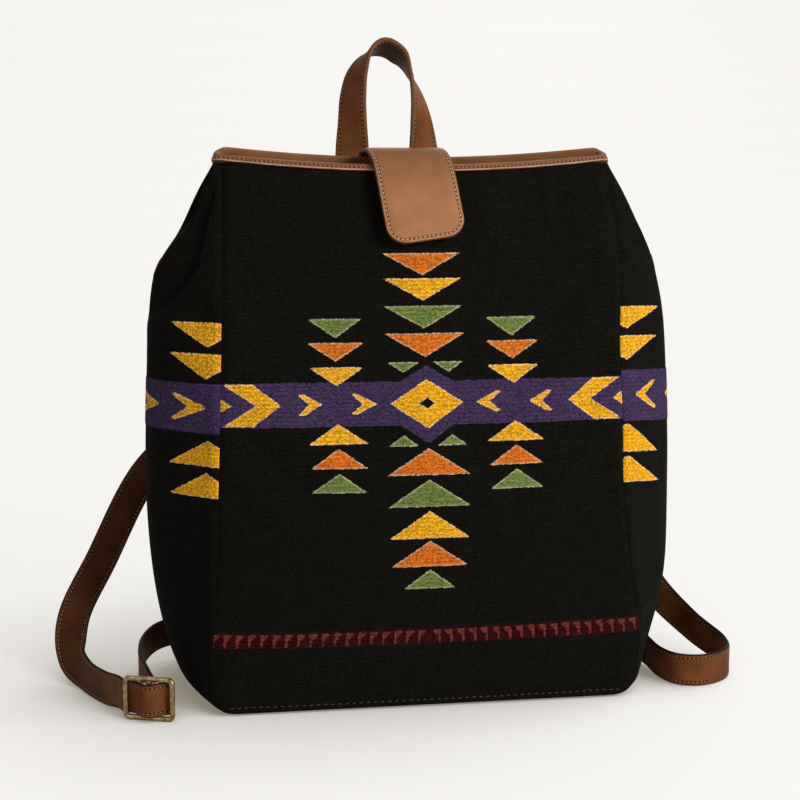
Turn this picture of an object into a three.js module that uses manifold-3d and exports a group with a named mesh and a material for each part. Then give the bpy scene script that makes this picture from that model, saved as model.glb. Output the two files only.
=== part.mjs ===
// A soft cloth backpack with leather rims, a grab handle, a closure tab and two shoulder straps.
// Millimetres, +Z up. The front faces -Y, and the origin is the middle of the base, on the floor.
import * as THREE from "three";
import { mergeVertices } from "three/addons/utils/BufferGeometryUtils.js";
import Module from "manifold-3d";

const wasm = await Module();
wasm.setup();

// Cloth body
const BAG_HEIGHT = 357; // floor to the cloth's top edge at the corners
const RIM_SAG = 7; // how far the rim dips at its middle
const BACK_RISE = 5; // how far the back rim stands above the front rim
const BASE_WIDTH = 284; // seam to seam, where the sides would meet the floor
const TOP_WIDTH = 253; // seam to seam at the rim
const SEAM_CURVE = 1.3; // how the seams bow between those widths, 1 for straight
const BASE_CORNER = 18; // radius of the panels' bottom corners
const BASE_DEPTH = 124; // front to back at the floor
const BELLY = 7; // how far the panels swell past the base
const BELLY_HEIGHT = 100; // where that swell is fullest
const MOUTH_DEPTH = 28; // front cloth to back cloth at the rim
const PANEL_BOW = 8.5; // how far the seams lie behind the panel's middle
const BOW_HEIGHT = 120; // where the panels reach that bow
const GUSSET_BULGE = 45; // how far the sides swell past their seams
const BULGE_HEIGHT = 190; // where the sides reach that width
const SHOULDER_HEIGHT = 225; // above this the sides fold inwards
const SHOULDER_CURVE = 2.8; // how gently they begin to, 1 for a sharp shoulder
const TUCK_DEPTH = 28; // how far the fold reaches in at the rim
const EAR = 6; // how far the corner folds stand out at the rim
const CLOTH = 2.2;
const WEAVE = 0.6; // how far the woven figures stand proud of the cloth
const FIGURE_CLEARANCE = 7; // from the tab's end to the first figure
const BAND_DROP = 94; // from the first figure's top to the middle of the band
const BAND_HEIGHT = 27;
const BOARD = 2.5; // thickness of the base stiffener
const BOARD_CLEARANCE = 1.5; // round the edge of the stiffener
const BOARD_CORNER = 10;
const GAP = 0.3; // clearance between pieces that touch

// Leather
const LEATHER = 1.3; // one layer
const BINDING_OUTSIDE = 5; // how far the rim binding reaches down outside and at the corners
const BINDING_INSIDE = 9; // and inside, between the corners
const HANDLE_WIDTH = 23;
const HANDLE_THICK = 3;
const STRAP_WIDTH = 22;
const STRAP_THICK = 2.4;
const LOWER_STRAP_WIDTH = 20;
const YOKE_WIDTH = 136;
const YOKE_HEIGHT = 54;
const YOKE_DROP = 19; // from the top of the cloth to the yoke
const YOKE_CENTRE = -8;
const YOKE_CORNER = 8;
const ANCHOR_WIDTH = 36;
const ANCHOR_HEIGHT = 26;
const ANCHOR_INSET = 34; // from the side of the base to the patch's middle
const ANCHOR_LOW = 5;
const ANCHOR_CORNER = 6;

// Closure
const TAB_WIDTH = 50.5;
const TAB_CORNER = 14;
const TAB_DROP = 55; // from the top of the cloth to the tab's end
const TAB_BEND = 16; // and to where the tab hangs straight
const TAB_ARCH = 3.5; // how far its arch over the mouth stands above the cloth
const TAB_SKEW = 12; // how far the tab leans to its right from root to tip
const TAB_ROOT_X = -8;
const TAB_ROOT_DROP = 17; // from the top of the cloth to the lower end of the leather behind the rim
const SNAP_DIAMETER = 16;
const SNAP_HEIGHT = 2; // of each half
const SNAP_NUB = 6; // diameter of the stud's middle
const SNAP_NUB_HEIGHT = 0.9;
const SNAP_NUB_CLEARANCE = 2;
const SNAP_FROM_TIP = 21;
const WASHER_THICK = 0.8;

// Slide buckles
const BUCKLE_LENGTH = 34; // along the strap
const BUCKLE_BAR = 2.8;
const BUCKLE_CLEARANCE = 0.5; // beside the strap in its slot
const BUCKLE_THICK = 3;
const BUCKLE_CORNER = 4;
const BUCKLE_EDGE = 0.6; // chamfer
const BUCKLE_TAIL = 0.8; // how far inside the buckle's end the strap stops
const LOOP_LEATHER = 1.6; // the lower strap's loop round the middle bar

const FRONT = -1;
const BACK = 1;
const LEFT = -1;
const RIGHT = 1;

const vec = (x, y, z) => new THREE.Vector3(x, y, z);
const clamp = (value) => THREE.MathUtils.clamp(value, 0, 1);
const lerp = THREE.MathUtils.lerp;

// Solids from points

function solidFrom(points, triangles) {
  const geometry = new THREE.BufferGeometry();
  geometry.setAttribute("position", new THREE.Float32BufferAttribute(points.flatMap((p) => p.toArray()), 3));
  geometry.setIndex(triangles);
  return geometry;
}

// The solid between two grids of points: rows run up, and columns run left to right seen from outside.
function slab(outer, inner) {
  const rows = outer.length;
  const columns = outer[0].length;
  const triangles = [];
  const out = (r, c) => r * columns + c;
  const back = (r, c) => (rows + r) * columns + c;
  const quad = (a, b, c, d) => triangles.push(a, b, c, a, c, d);
  for (let r = 0; r < rows - 1; r++) {
    for (let c = 0; c < columns - 1; c++) {
      quad(out(r, c), out(r, c + 1), out(r + 1, c + 1), out(r + 1, c));
      quad(back(r, c), back(r + 1, c), back(r + 1, c + 1), back(r, c + 1));
    }
    quad(out(r, 0), out(r + 1, 0), back(r + 1, 0), back(r, 0));
    quad(out(r + 1, columns - 1), out(r, columns - 1), back(r, columns - 1), back(r + 1, columns - 1));
  }
  for (let c = 0; c < columns - 1; c++) {
    quad(out(0, c + 1), out(0, c), back(0, c), back(0, c + 1));
    quad(out(rows - 1, c), out(rows - 1, c + 1), back(rows - 1, c + 1), back(rows - 1, c));
  }
  return solidFrom([...outer.flat(), ...inner.flat()], triangles);
}

// The solid swept by an outline through frames, where across x up is the direction of travel.
function sweep(frames, outlineAt, closed = false) {
  const count = outlineAt(0).length;
  const points = [];
  const triangles = [];
  frames.forEach((frame, index) => {
    for (const p of outlineAt(index)) {
      points.push(frame.origin.clone().addScaledVector(frame.across, p.x).addScaledVector(frame.up, p.y));
    }
  });
  for (let f = 0; f < (closed ? frames.length : frames.length - 1); f++) {
    const next = ((f + 1) % frames.length) * count;
    for (let i = 0; i < count; i++) {
      const j = (i + 1) % count;
      triangles.push(f * count + i, f * count + j, next + j, f * count + i, next + j, next + i);
    }
  }
  if (closed) {
    return solidFrom(points, triangles);
  }
  const last = (frames.length - 1) * count;
  for (const [a, b, c] of THREE.ShapeUtils.triangulateShape(outlineAt(0), [])) {
    triangles.push(a, c, b, last + a, last + b, last + c);
  }
  return solidFrom(points, triangles);
}

// A flat band's section, from one face to the other.
function bandSection(width, low, high) {
  const half = width / 2;
  return [[-half, low], [half, low], [half, high], [-half, high]].map(([x, y]) => new THREE.Vector2(x, y));
}

// Frames along a curve through stops, each with its place and the direction of the band's width there.
function routeFrames(stops, steps) {
  const path = new THREE.CatmullRomCurve3(stops.map((stop) => stop.at), false, "centripetal");
  const frames = [];
  for (let k = 0; k <= steps * (stops.length - 1); k++) {
    const leg = Math.min(Math.floor(k / steps), stops.length - 2);
    const share = k / steps - leg;
    const travel = path.getTangent(k / steps / (stops.length - 1));
    const across = stops[leg].wide.clone().lerp(stops[leg + 1].wide, share);
    across.addScaledVector(travel, -across.dot(travel)).normalize();
    const origin = path.getPoint(k / steps / (stops.length - 1));
    frames.push({ origin, across, up: travel.cross(across) });
  }
  return frames;
}

function toManifold(geometry) {
  const bare = geometry.clone();
  bare.deleteAttribute("normal");
  bare.deleteAttribute("uv");
  const merged = mergeVertices(bare, 1e-4);
  const vertProperties = new Float32Array(merged.attributes.position.array);
  const triVerts = new Uint32Array(merged.index.array);
  return new wasm.Manifold(new wasm.Mesh({ numProp: 3, vertProperties, triVerts }));
}

function join(base, additions) {
  let solid = toManifold(base);
  for (const addition of additions) {
    solid = solid.add(toManifold(addition));
  }
  const mesh = solid.getMesh();
  const geometry = new THREE.BufferGeometry();
  geometry.setAttribute("position", new THREE.Float32BufferAttribute(mesh.vertProperties, 3));
  geometry.setIndex(new THREE.Uint32BufferAttribute(mesh.triVerts, 1));
  return geometry;
}

// The bag's form

function halfWidth(z) {
  const taper = clamp(1 - z / BAG_HEIGHT);
  return TOP_WIDTH / 2 + ((BASE_WIDTH - TOP_WIDTH) / 2) * taper ** SEAM_CURVE;
}

function halfDepth(z) {
  if (z < BELLY_HEIGHT) {
    return BASE_DEPTH / 2 + BELLY * Math.sin((Math.PI / 2) * (z / BELLY_HEIGHT));
  }
  const rise = (z - BELLY_HEIGHT) / (BAG_HEIGHT - BELLY_HEIGHT);
  const swell = BASE_DEPTH / 2 + BELLY - MOUTH_DEPTH / 2;
  return MOUTH_DEPTH / 2 + swell * Math.cos((Math.PI / 2) * rise);
}

// Distance of the panels' outer face from the bag's middle plane.
function panelFace(x, z) {
  const bow = PANEL_BOW * Math.sin((Math.PI / 2) * clamp(z / BOW_HEIGHT));
  return halfDepth(z) - bow * (x / halfWidth(z)) ** 2;
}

// Height of a panel's top edge.
function rimHeight(side, x) {
  const share = x / halfWidth(BAG_HEIGHT);
  const rise = side === BACK ? BACK_RISE * (1 - share ** 12) : 0;
  return BAG_HEIGHT - RIM_SAG * (1 - share * share) + rise;
}

// The direction that a panel's outer face looks in.
function panelNormal(side, x, z) {
  const slopeX = (panelFace(x + 1, z) - panelFace(x - 1, z)) / 2;
  const slopeZ = (panelFace(x, z + 1) - panelFace(x, z - 1)) / 2;
  return vec(-slopeX, side, -slopeZ).normalize();
}

// A point at a distance from a panel's outer face.
function offPanel(side, x, z, distance) {
  return vec(x, side * panelFace(x, z), z).addScaledVector(panelNormal(side, x, z), distance);
}

// A stop of a band that lies flat on the back, at a distance from the cloth.
function sewn(x, z, distance, wide) {
  const normal = panelNormal(BACK, x, z);
  const flat = wide.clone().addScaledVector(normal, -wide.dot(normal)).normalize();
  return { at: offPanel(BACK, x, z, distance), wide: flat };
}

const gussetTop = BAG_HEIGHT + LEATHER - BINDING_OUTSIDE; // just under the rim binding

// Rows of the panels' outline from the floor up: the seam's place and the way out of the panel there.
function outlineRows() {
  const cornerSteps = 4;
  const sideSteps = 16;
  const rows = [];
  for (let step = 0; step < cornerSteps; step++) {
    const angle = ((Math.PI / 2) * step) / cornerSteps;
    const z = BASE_CORNER * (1 - Math.cos(angle));
    const x = halfWidth(z) - BASE_CORNER * (1 - Math.sin(angle));
    rows.push({ x, z, outX: Math.sin(angle), outZ: -Math.cos(angle) });
  }
  for (let step = 0; step <= sideSteps; step++) {
    const z = lerp(BASE_CORNER, gussetTop, step / sideSteps);
    rows.push({ x: halfWidth(z), z, outX: 1, outZ: 0 });
  }
  return rows;
}

// A side's section at a height, front seam to back seam: a plain swell that folds into a tuck near the rim.
function gussetSection(z, depth) {
  const pocket = [[0, 0], [EAR, 0.17], [0.3 * EAR, 0.36], [-0.7 * TUCK_DEPTH, 0.38], [-TUCK_DEPTH, 0.5]];
  const mirrored = pocket.slice(0, -1).reverse().map(([out, share]) => [out, 1 - share]);
  const fold = new THREE.SplineCurve([...pocket, ...mirrored].map(([x, y]) => new THREE.Vector2(x, y)));
  const swell = GUSSET_BULGE * Math.sin((Math.PI / 2) * clamp(z / BULGE_HEIGHT) ** 0.55);
  const tuck = clamp((z - SHOULDER_HEIGHT) / (BAG_HEIGHT - SHOULDER_HEIGHT)) ** SHOULDER_CURVE;
  const count = 16;
  return fold.getPoints(count).map((folded, i) => {
    const share = i / count;
    const out = lerp(swell * 4 * share * (1 - share), folded.x, tuck);
    return new THREE.Vector2(out, lerp(share, folded.y, tuck) * depth);
  });
}

// How far the seam's inner corner lies inside its outer corner, where two thicknesses of cloth meet.
function seamMitre(section) {
  const start = section[1].clone().sub(section[0]);
  return CLOTH * Math.tan(Math.atan2(start.y, start.x) / 2);
}

function panel(side) {
  const columns = 12;
  const outer = [];
  const inner = [];
  const rim = { x: halfWidth(BAG_HEIGHT), z: BAG_HEIGHT, outX: 1, outZ: 0 };
  for (const row of [...outlineRows(), rim]) {
    const mitre = seamMitre(gussetSection(row.z, 2 * panelFace(row.x, row.z)));
    const pointAt = (c, inset, depth) => {
      const share = side * (1 - (2 * c) / columns);
      const x = share * (row.x - inset * row.outX);
      const level = row.z - inset * row.outZ;
      const z = level + (rimHeight(side, x) - BAG_HEIGHT) * (level / BAG_HEIGHT) ** 6;
      return vec(x, side * (panelFace(x, z) - depth), z);
    };
    const steps = Array.from({ length: columns + 1 }, (_, c) => c);
    outer.push(steps.map((c) => pointAt(c, GAP, 0)));
    inner.push(steps.map((c) => pointAt(c, GAP + mitre, CLOTH)));
  }
  return slab(outer, inner);
}

function gusset(side) {
  const outer = [];
  const inner = [];
  for (const row of outlineRows()) {
    const depth = 2 * panelFace(row.x, row.z);
    const section = gussetSection(row.z, depth);
    const mitre = seamMitre(section);
    const last = section.length - 1;
    const place = (out, y, z) => vec(side * out, y - depth / 2, z);
    const skin = section.map((p) => place(row.x + p.x, p.y, row.z));
    const lining = section.map((p, i) => {
      if (i === 0 || i === last) {
        const y = i === 0 ? CLOTH : depth - CLOTH;
        return place(row.x - mitre * row.outX, y, row.z - mitre * row.outZ);
      }
      const run = section[i + 1].clone().sub(section[i - 1]).normalize();
      const inward = CLOTH * row.outX;
      return place(row.x + p.x - inward * run.y, p.y + inward * run.x, row.z - CLOTH * row.outZ);
    });
    outer.push(side === RIGHT ? skin : skin.reverse());
    inner.push(side === RIGHT ? lining : lining.reverse());
  }
  return slab(outer, inner);
}

const floorHalfWidth = halfWidth(0) - BASE_CORNER;

function basePanel() {
  const half = BASE_DEPTH / 2;
  const outline = [[-half, 0], [half, 0], [half - CLOTH, CLOTH], [CLOTH - half, CLOTH]];
  const frames = [-1, 1].map((end) => ({
    origin: vec(end * (floorHalfWidth - GAP), 0, 0),
    across: vec(0, 1, 0),
    up: vec(0, 0, 1),
  }));
  return sweep(frames, () => outline.map(([x, y]) => new THREE.Vector2(x, y)));
}

function roundedRectangle(width, height, radius, Form = THREE.Shape) {
  const x = width / 2 - radius;
  const y = height / 2 - radius;
  const form = new Form();
  form.absarc(x, y, radius, 0, Math.PI / 2);
  form.absarc(-x, y, radius, Math.PI / 2, Math.PI);
  form.absarc(-x, -y, radius, Math.PI, 1.5 * Math.PI);
  form.absarc(x, -y, radius, 1.5 * Math.PI, 2 * Math.PI);
  return form;
}

function baseBoard() {
  const width = 2 * (floorHalfWidth - BOARD_CLEARANCE);
  const depth = BASE_DEPTH - 2 * (CLOTH + BOARD_CLEARANCE);
  const outline = roundedRectangle(width, depth, BOARD_CORNER);
  const board = new THREE.ExtrudeGeometry(outline, { depth: BOARD, bevelEnabled: false, curveSegments: 4 });
  return board.translate(0, 0, CLOTH + GAP);
}

// Woven figures on the front, as outlines in X and Z

function triangle(x, base, apex, half) {
  return [[x - half, base], [x + half, base], [x, apex]];
}

function chevron(side, tip, tail, z, rise) {
  const notch = tip + 0.6 * (tail - tip);
  return [[tip, z], [tail, z + rise], [notch, z], [tail, z - rise]].map(([x, height]) => [side * x, height]);
}

const patternTop = BAG_HEIGHT - TAB_DROP - FIGURE_CLEARANCE;
const bandMiddle = patternTop - BAND_DROP;

function figures() {
  const down = (drop) => patternTop - drop;
  const upperColumn = [0, 16, 33, 50.5].map(down);
  const lowerColumn = [139, 159, 179.5, 198].map(down);
  const upperSides = [41, 56, 71.5].map(down);
  const lowerSides = [149, 134, 119].map(down);
  const sideColumn = 57.5;
  const outlines = [
    ...upperColumn.map((base) => triangle(0, base, base - 14.5, 26)),
    ...lowerColumn.map((base) => triangle(0, base, base + 17, 26)),
    triangle(0, down(212.5), down(200), 17),
    [[-23.5, bandMiddle], [0, bandMiddle - 15], [23.5, bandMiddle], [0, bandMiddle + 15]],
  ];
  for (const side of [LEFT, RIGHT]) {
    outlines.push(
      ...upperSides.map((base) => triangle(side * sideColumn, base, base - 12, 17.5)),
      ...lowerSides.map((base) => triangle(side * sideColumn, base, base + 12.5, 18.5)),
      triangle(side * 15, down(68.5), down(75), 10),
      triangle(side * 15, down(120.5), down(114), 10),
      chevron(side, 32, 49, bandMiddle, 6.4),
      chevron(side, 67, 82.5, bandMiddle, 6.4),
      chevron(side, 93, 118, bandMiddle, 13),
    );
  }
  return outlines;
}

// A woven figure: its outline raised on the front, cut finely enough to follow the swell of the cloth.
function raisedFigure(outline, height) {
  const contour = outline.map(([x, z]) => new THREE.Vector2(x, z));
  if (THREE.ShapeUtils.area(contour) < 0) {
    contour.reverse();
  }
  let cells = THREE.ShapeUtils.triangulateShape(contour, []).map((cell) => cell.map((i) => contour[i]));
  const size = new THREE.Box2().setFromPoints(contour).getSize(new THREE.Vector2()).x;
  for (let level = 0; level < (size > 40 ? 2 : 1); level++) {
    cells = cells.flatMap(([a, b, c]) => {
      const [ab, bc, ca] = [[a, b], [b, c], [c, a]].map(([p, q]) => p.clone().add(q).multiplyScalar(0.5));
      return [[a, ab, ca], [ab, b, bc], [ca, bc, c], [ab, bc, ca]];
    });
  }
  const points = [];
  const triangles = [];
  const seen = new Map();
  const edges = new Map();
  const key = (p) => `${p.x.toFixed(4)} ${p.y.toFixed(4)}`;
  const index = (p) => {
    if (!seen.has(key(p))) {
      seen.set(key(p), points.length);
      points.push(vec(p.x, -panelFace(p.x, p.y) - height, p.y));
      points.push(vec(p.x, -panelFace(p.x, p.y) + CLOTH / 2, p.y));
    }
    return seen.get(key(p));
  };
  for (const cell of cells) {
    const [a, b, c] = cell.map(index);
    triangles.push(a, b, c, a + 1, c + 1, b + 1);
    for (const [p, q] of [[a, b], [b, c], [c, a]]) {
      if (!edges.delete(`${q} ${p}`)) {
        edges.set(`${p} ${q}`, [p, q]);
      }
    }
  }
  for (const [p, q] of edges.values()) {
    triangles.push(q, p, p + 1, q, p + 1, q + 1);
  }
  return solidFrom(points, triangles);
}

// The band across the front, with a low peak above and below the middle figure.
function raisedBand() {
  const columns = 18;
  const peakHalf = 18;
  const reach = halfWidth(bandMiddle) - 2;
  const peak = (x) => 10 * clamp(1 - Math.abs(x) / peakHalf);
  const edge = (x, direction) => bandMiddle + direction * (BAND_HEIGHT / 2 + peak(x));
  const xs = Array.from({ length: columns + 1 }, (_, c) => reach * (-1 + (2 * c) / columns));
  const rows = [-1, 0, 1].map((row) => xs.map((x) => [x, row === 0 ? bandMiddle : edge(x, row)]));
  const at = (offset) => rows.map((row) => row.map(([x, z]) => vec(x, -panelFace(x, z) - offset, z)));
  return slab(at(WEAVE / 2), at(-CLOTH / 2));
}

function frontPanel() {
  const raised = figures().map((outline) => raisedFigure(outline, WEAVE));
  return join(panel(FRONT), [raisedBand(), ...raised]);
}

// Leather on the cloth

// A strip of leather folded over the top edge, all round the mouth.
function rimBinding() {
  const hold = CLOTH / 2 + GAP;
  const half = hold + LEATHER;
  const top = GAP + LEATHER;
  const outline = (inside) => {
    const form = new THREE.Shape();
    form.moveTo(half, top - inside);
    form.absellipse(0, GAP, half, LEATHER, 0, Math.PI);
    form.lineTo(-half, top - BINDING_OUTSIDE);
    form.lineTo(-hold, top - BINDING_OUTSIDE);
    form.lineTo(-hold, GAP);
    form.lineTo(hold, GAP);
    form.lineTo(hold, top - inside);
    return form.getPoints(2);
  };

  const reach = halfWidth(BAG_HEIGHT);
  const cornerRadius = panelFace(reach, BAG_HEIGHT) - CLOTH / 2;
  const lean = panelFace(0, BAG_HEIGHT - BINDING_OUTSIDE) - panelFace(0, BAG_HEIGHT);
  const tilt = lean / BINDING_OUTSIDE;
  const frames = [];
  const addFrame = (origin, travel, inside) => {
    const inward = vec(-travel.y, travel.x, 0);
    const up = vec(0, 0, 1).addScaledVector(inward, tilt).normalize();
    frames.push({ origin, across: inward, up, inside });
  };
  const straightSteps = 12;
  const cornerSteps = 6;
  for (const side of [FRONT, BACK]) {
    for (let k = 0; k <= straightSteps; k++) {
      const x = side * reach * (1 - (2 * k) / straightSteps);
      const z = rimHeight(side, x);
      const inside = Math.min(k, straightSteps - k) < 2 ? BINDING_OUTSIDE : BINDING_INSIDE;
      addFrame(vec(x, side * (panelFace(x, z) - CLOTH / 2), z), vec(-side, 0, 0), inside);
    }
    for (let k = 1; k < cornerSteps; k++) {
      const angle = Math.PI * (k / cornerSteps - 0.5);
      const out = vec(Math.cos(angle), Math.sin(angle), 0).multiplyScalar(-side);
      const origin = vec(-side * reach, 0, BAG_HEIGHT).addScaledVector(out, cornerRadius);
      addFrame(origin, vec(-out.y, out.x, 0), BINDING_OUTSIDE);
    }
  }
  return sweep(frames, (k) => outline(frames[k].inside), true);
}

// A leather patch with round corners that lies on the back panel.
function backPatch(centre, low, high, width, corner, columns) {
  const cornerSteps = 3;
  const rows = [];
  for (let step = 0; step <= cornerSteps; step++) {
    const angle = ((Math.PI / 2) * step) / cornerSteps;
    const inset = corner * (1 - Math.sin(angle));
    const rise = corner * (1 - Math.cos(angle));
    rows.push({ z: low + rise, half: width / 2 - inset });
    rows.push({ z: high - rise, half: width / 2 - inset });
  }
  rows.push({ z: (low + high) / 2, half: width / 2 });
  rows.sort((a, b) => a.z - b.z);
  const shares = Array.from({ length: columns + 1 }, (_, c) => 1 - (2 * c) / columns);
  const sheet = (distance) => rows.map(({ z, half }) =>
    shares.map((share) => offPanel(BACK, centre + half * share, z, distance)));
  return slab(sheet(GAP + LEATHER), sheet(GAP));
}

const onPatch = GAP + LEATHER + GAP; // where a band that is sewn on a patch begins
const yokeHigh = BAG_HEIGHT - YOKE_DROP;
const yokeLow = yokeHigh - YOKE_HEIGHT;
const anchorPlace = BASE_WIDTH / 2 - ANCHOR_INSET;

// A place above the mouth, from its back edge and the top of the cloth.
const aboveRim = (x, back, rise) => vec(x, MOUTH_DEPTH / 2 + back, BAG_HEIGHT + rise);

// A place beside the bag, from the side and the back of its base.
const beside = (side, out, back, z) => vec(side * (BASE_WIDTH / 2 + out), BASE_DEPTH / 2 + back, z);

function handle() {
  const onYoke = onPatch + HANDLE_THICK / 2;
  const foot = (x, drop, wide, lift) => sewn(x, yokeHigh - drop, onYoke + lift, vec(wide, 0, 0));
  const stops = [
    foot(-35.5, 21, -1, 0),
    foot(-35.8, 15, -1, GAP),
    foot(-36, 9, -1, 3 * GAP),
    { at: aboveRim(-36.5, 19, -5), wide: vec(-1, 0.1, 0) },
    { at: aboveRim(-36.2, 21, 20), wide: vec(-0.8, 0.6, 0) },
    { at: aboveRim(-35.5, 21, 41), wide: vec(-0.66, 0.75, 0) },
    { at: aboveRim(-32.5, 21, 56), wide: vec(-0.5, 0.86, -0.1) },
    { at: aboveRim(-25, 21, 67.5), wide: vec(-0.25, 0.93, -0.28) },
    { at: aboveRim(-14.5, 21, 71.5), wide: vec(0.05, 0.89, -0.45) },
    { at: aboveRim(-3.5, 21, 65.5), wide: vec(0.15, 0.78, -0.6) },
    { at: aboveRim(3.5, 21, 54), wide: vec(0.3, 0.8, -0.52) },
    { at: aboveRim(8, 21, 41), wide: vec(0.47, 0.85, -0.25) },
    { at: aboveRim(11, 21, 25), wide: vec(0.7, 0.71, 0) },
    { at: aboveRim(12.8, 20, 1), wide: vec(0.93, 0.37, 0) },
    foot(13, 9, 1, 3 * GAP),
    foot(13, 15, 1, GAP),
    foot(13, 21, 1, 0),
  ];
  const section = bandSection(HANDLE_WIDTH, -HANDLE_THICK / 2, HANDLE_THICK / 2);
  return sweep(routeFrames(stops, 3), () => section);
}

// Closure tab: it folds behind the back rim, arches over the mouth and hangs parallel to the front

const tabHalf = LEATHER + GAP / 2;
const tabStandOff = GAP + SNAP_HEIGHT + GAP + SNAP_HEIGHT + GAP + tabHalf;
const rimTop = rimHeight(BACK, 0) + GAP + LEATHER;
const rimBack = panelFace(0, rimHeight(BACK, 0)) + GAP + LEATHER;
const tabHinge = vec(TAB_ROOT_X, rimBack + GAP + LEATHER / 2, rimTop + GAP + tabHalf);

function tabPath() {
  const drops = [0, 1 / 3, 2 / 3, 1].map((share) => lerp(TAB_BEND, TAB_DROP, share));
  const hang = drops.map((drop) => offPanel(FRONT, 0, BAG_HEIGHT - drop, tabStandOff));
  const crown = BAG_HEIGHT + TAB_ARCH;
  const arch = [
    tabHinge.clone(),
    vec(0, rimBack * 0.4, crown),
    vec(0, -rimBack * 0.4, crown - 0.5),
    vec(0, -rimBack - 1, crown - 6),
  ];
  const points = [...arch, ...hang];
  const leaning = points.length - 2;
  points.forEach((p, i) => p.setX(TAB_ROOT_X + (TAB_SKEW * Math.max(0, i - 1)) / leaning));
  return new THREE.CatmullRomCurve3(points, false, "centripetal");
}

// The fixed end of the tab's leather, sewn to the back below the rim; the tab folds at its upper edge.
function tabRoot() {
  const overBinding = GAP + LEATHER + GAP + LEATHER / 2;
  const bindingLow = rimTop - BINDING_OUTSIDE;
  const stops = [
    offPanel(BACK, TAB_ROOT_X, BAG_HEIGHT - TAB_ROOT_DROP, GAP + LEATHER / 2),
    offPanel(BACK, TAB_ROOT_X, bindingLow - 6, GAP + LEATHER / 2),
    offPanel(BACK, TAB_ROOT_X, bindingLow - 1, overBinding + GAP),
    offPanel(BACK, TAB_ROOT_X, rimTop - 2 * LEATHER, overBinding + GAP),
    vec(TAB_ROOT_X, tabHinge.y + GAP, rimTop - LEATHER / 2),
  ].map((at) => ({ at, wide: vec(1, 0, 0) }));
  const section = bandSection(TAB_WIDTH, -LEATHER / 2, LEATHER / 2);
  return sweep(routeFrames(stops, 2), () => section);
}

function tabFrame(path, distance) {
  const along = distance / path.getLength();
  const travel = path.getTangentAt(along);
  const across = vec(1, 0, 0);
  across.addScaledVector(travel, -across.dot(travel)).normalize();
  return { origin: path.getPointAt(along), across, up: travel.cross(across) };
}

function tabLayer(low, high) {
  const path = tabPath();
  const length = path.getLength();
  const straight = 20;
  const round = 5;
  const stations = [];
  for (let k = 0; k <= straight; k++) {
    stations.push({ distance: ((length - TAB_CORNER) * k) / straight, width: TAB_WIDTH });
  }
  for (let k = 1; k <= round; k++) {
    const angle = ((Math.PI / 2) * k) / round;
    const width = TAB_WIDTH - 2 * TAB_CORNER * (1 - Math.cos(angle));
    stations.push({ distance: length - TAB_CORNER * (1 - Math.sin(angle)), width });
  }
  const frames = stations.map(({ distance }) => tabFrame(path, distance));
  return sweep(frames, (k) => bandSection(stations[k].width, low, high));
}

// Turned snap half whose axis is the tab's own normal, resting at a height on that axis.
function snapPiece(profile, height) {
  const path = tabPath();
  const frame = tabFrame(path, path.getLength() - SNAP_FROM_TIP);
  const piece = new THREE.LatheGeometry(profile.map(([r, y]) => new THREE.Vector2(r, y)), 16);
  const turn = new THREE.Quaternion().setFromUnitVectors(vec(0, 1, 0), frame.up);
  piece.applyQuaternion(turn);
  const seat = frame.origin.clone().addScaledVector(frame.up, height);
  return piece.translate(...seat.toArray());
}

function snapSocket() {
  const radius = SNAP_DIAMETER / 2;
  const recess = SNAP_NUB / 2 + SNAP_NUB_CLEARANCE;
  const depth = SNAP_NUB_HEIGHT + GAP;
  const profile = [[0, depth], [recess, depth], [recess, 0], [radius, 0], [radius, SNAP_HEIGHT], [0, SNAP_HEIGHT]];
  return snapPiece(profile, -tabHalf - GAP - SNAP_HEIGHT);
}

function snapStud() {
  const radius = SNAP_DIAMETER / 2;
  const nub = SNAP_NUB / 2;
  const top = SNAP_HEIGHT + SNAP_NUB_HEIGHT;
  const profile = [[0, 0], [radius, 0], [radius, SNAP_HEIGHT], [nub, SNAP_HEIGHT], [nub, top], [0, top]];
  return snapPiece(profile, GAP - tabStandOff);
}

function snapWasher() {
  const radius = SNAP_DIAMETER / 2;
  const profile = [[0, 0], [radius, 0], [radius, WASHER_THICK], [0, WASHER_THICK]];
  return snapPiece(profile, -tabStandOff - CLOTH - GAP - WASHER_THICK);
}

// Shoulder straps

const slotHeight = STRAP_WIDTH + 2 * BUCKLE_CLEARANCE;
const buckleHeight = slotHeight + 2 * BUCKLE_BAR;
const buckleWave = BUCKLE_LENGTH / 2 - BUCKLE_BAR - 1;
const loopInside = Math.hypot(BUCKLE_BAR, BUCKLE_THICK) / 2 + GAP;
const loopOutside = loopInside + LOOP_LEATHER;
const strapUnder = -(BUCKLE_THICK / 2 + GAP + STRAP_THICK / 2);
const strapOver = loopOutside + GAP + STRAP_THICK / 2;

// A buckle's place: its middle, the way its strap runs through it and the way its face looks.
function buckleFrame(place, bearing) {
  const along = vec(Math.cos(bearing), Math.sin(bearing), 0);
  const face = vec(Math.sin(bearing), -Math.cos(bearing), 0);
  const middle = place.clone().setZ(buckleHeight / 2 + GAP);
  const at = (a, out) => middle.clone().addScaledVector(along, a).addScaledVector(face, out);
  return { middle, along, face, at };
}

const leftBuckle = buckleFrame(beside(LEFT, 38, -123, 0), THREE.MathUtils.degToRad(-20));
const rightBuckle = buckleFrame(beside(RIGHT, 25, -20, 0), THREE.MathUtils.degToRad(90));

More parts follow.
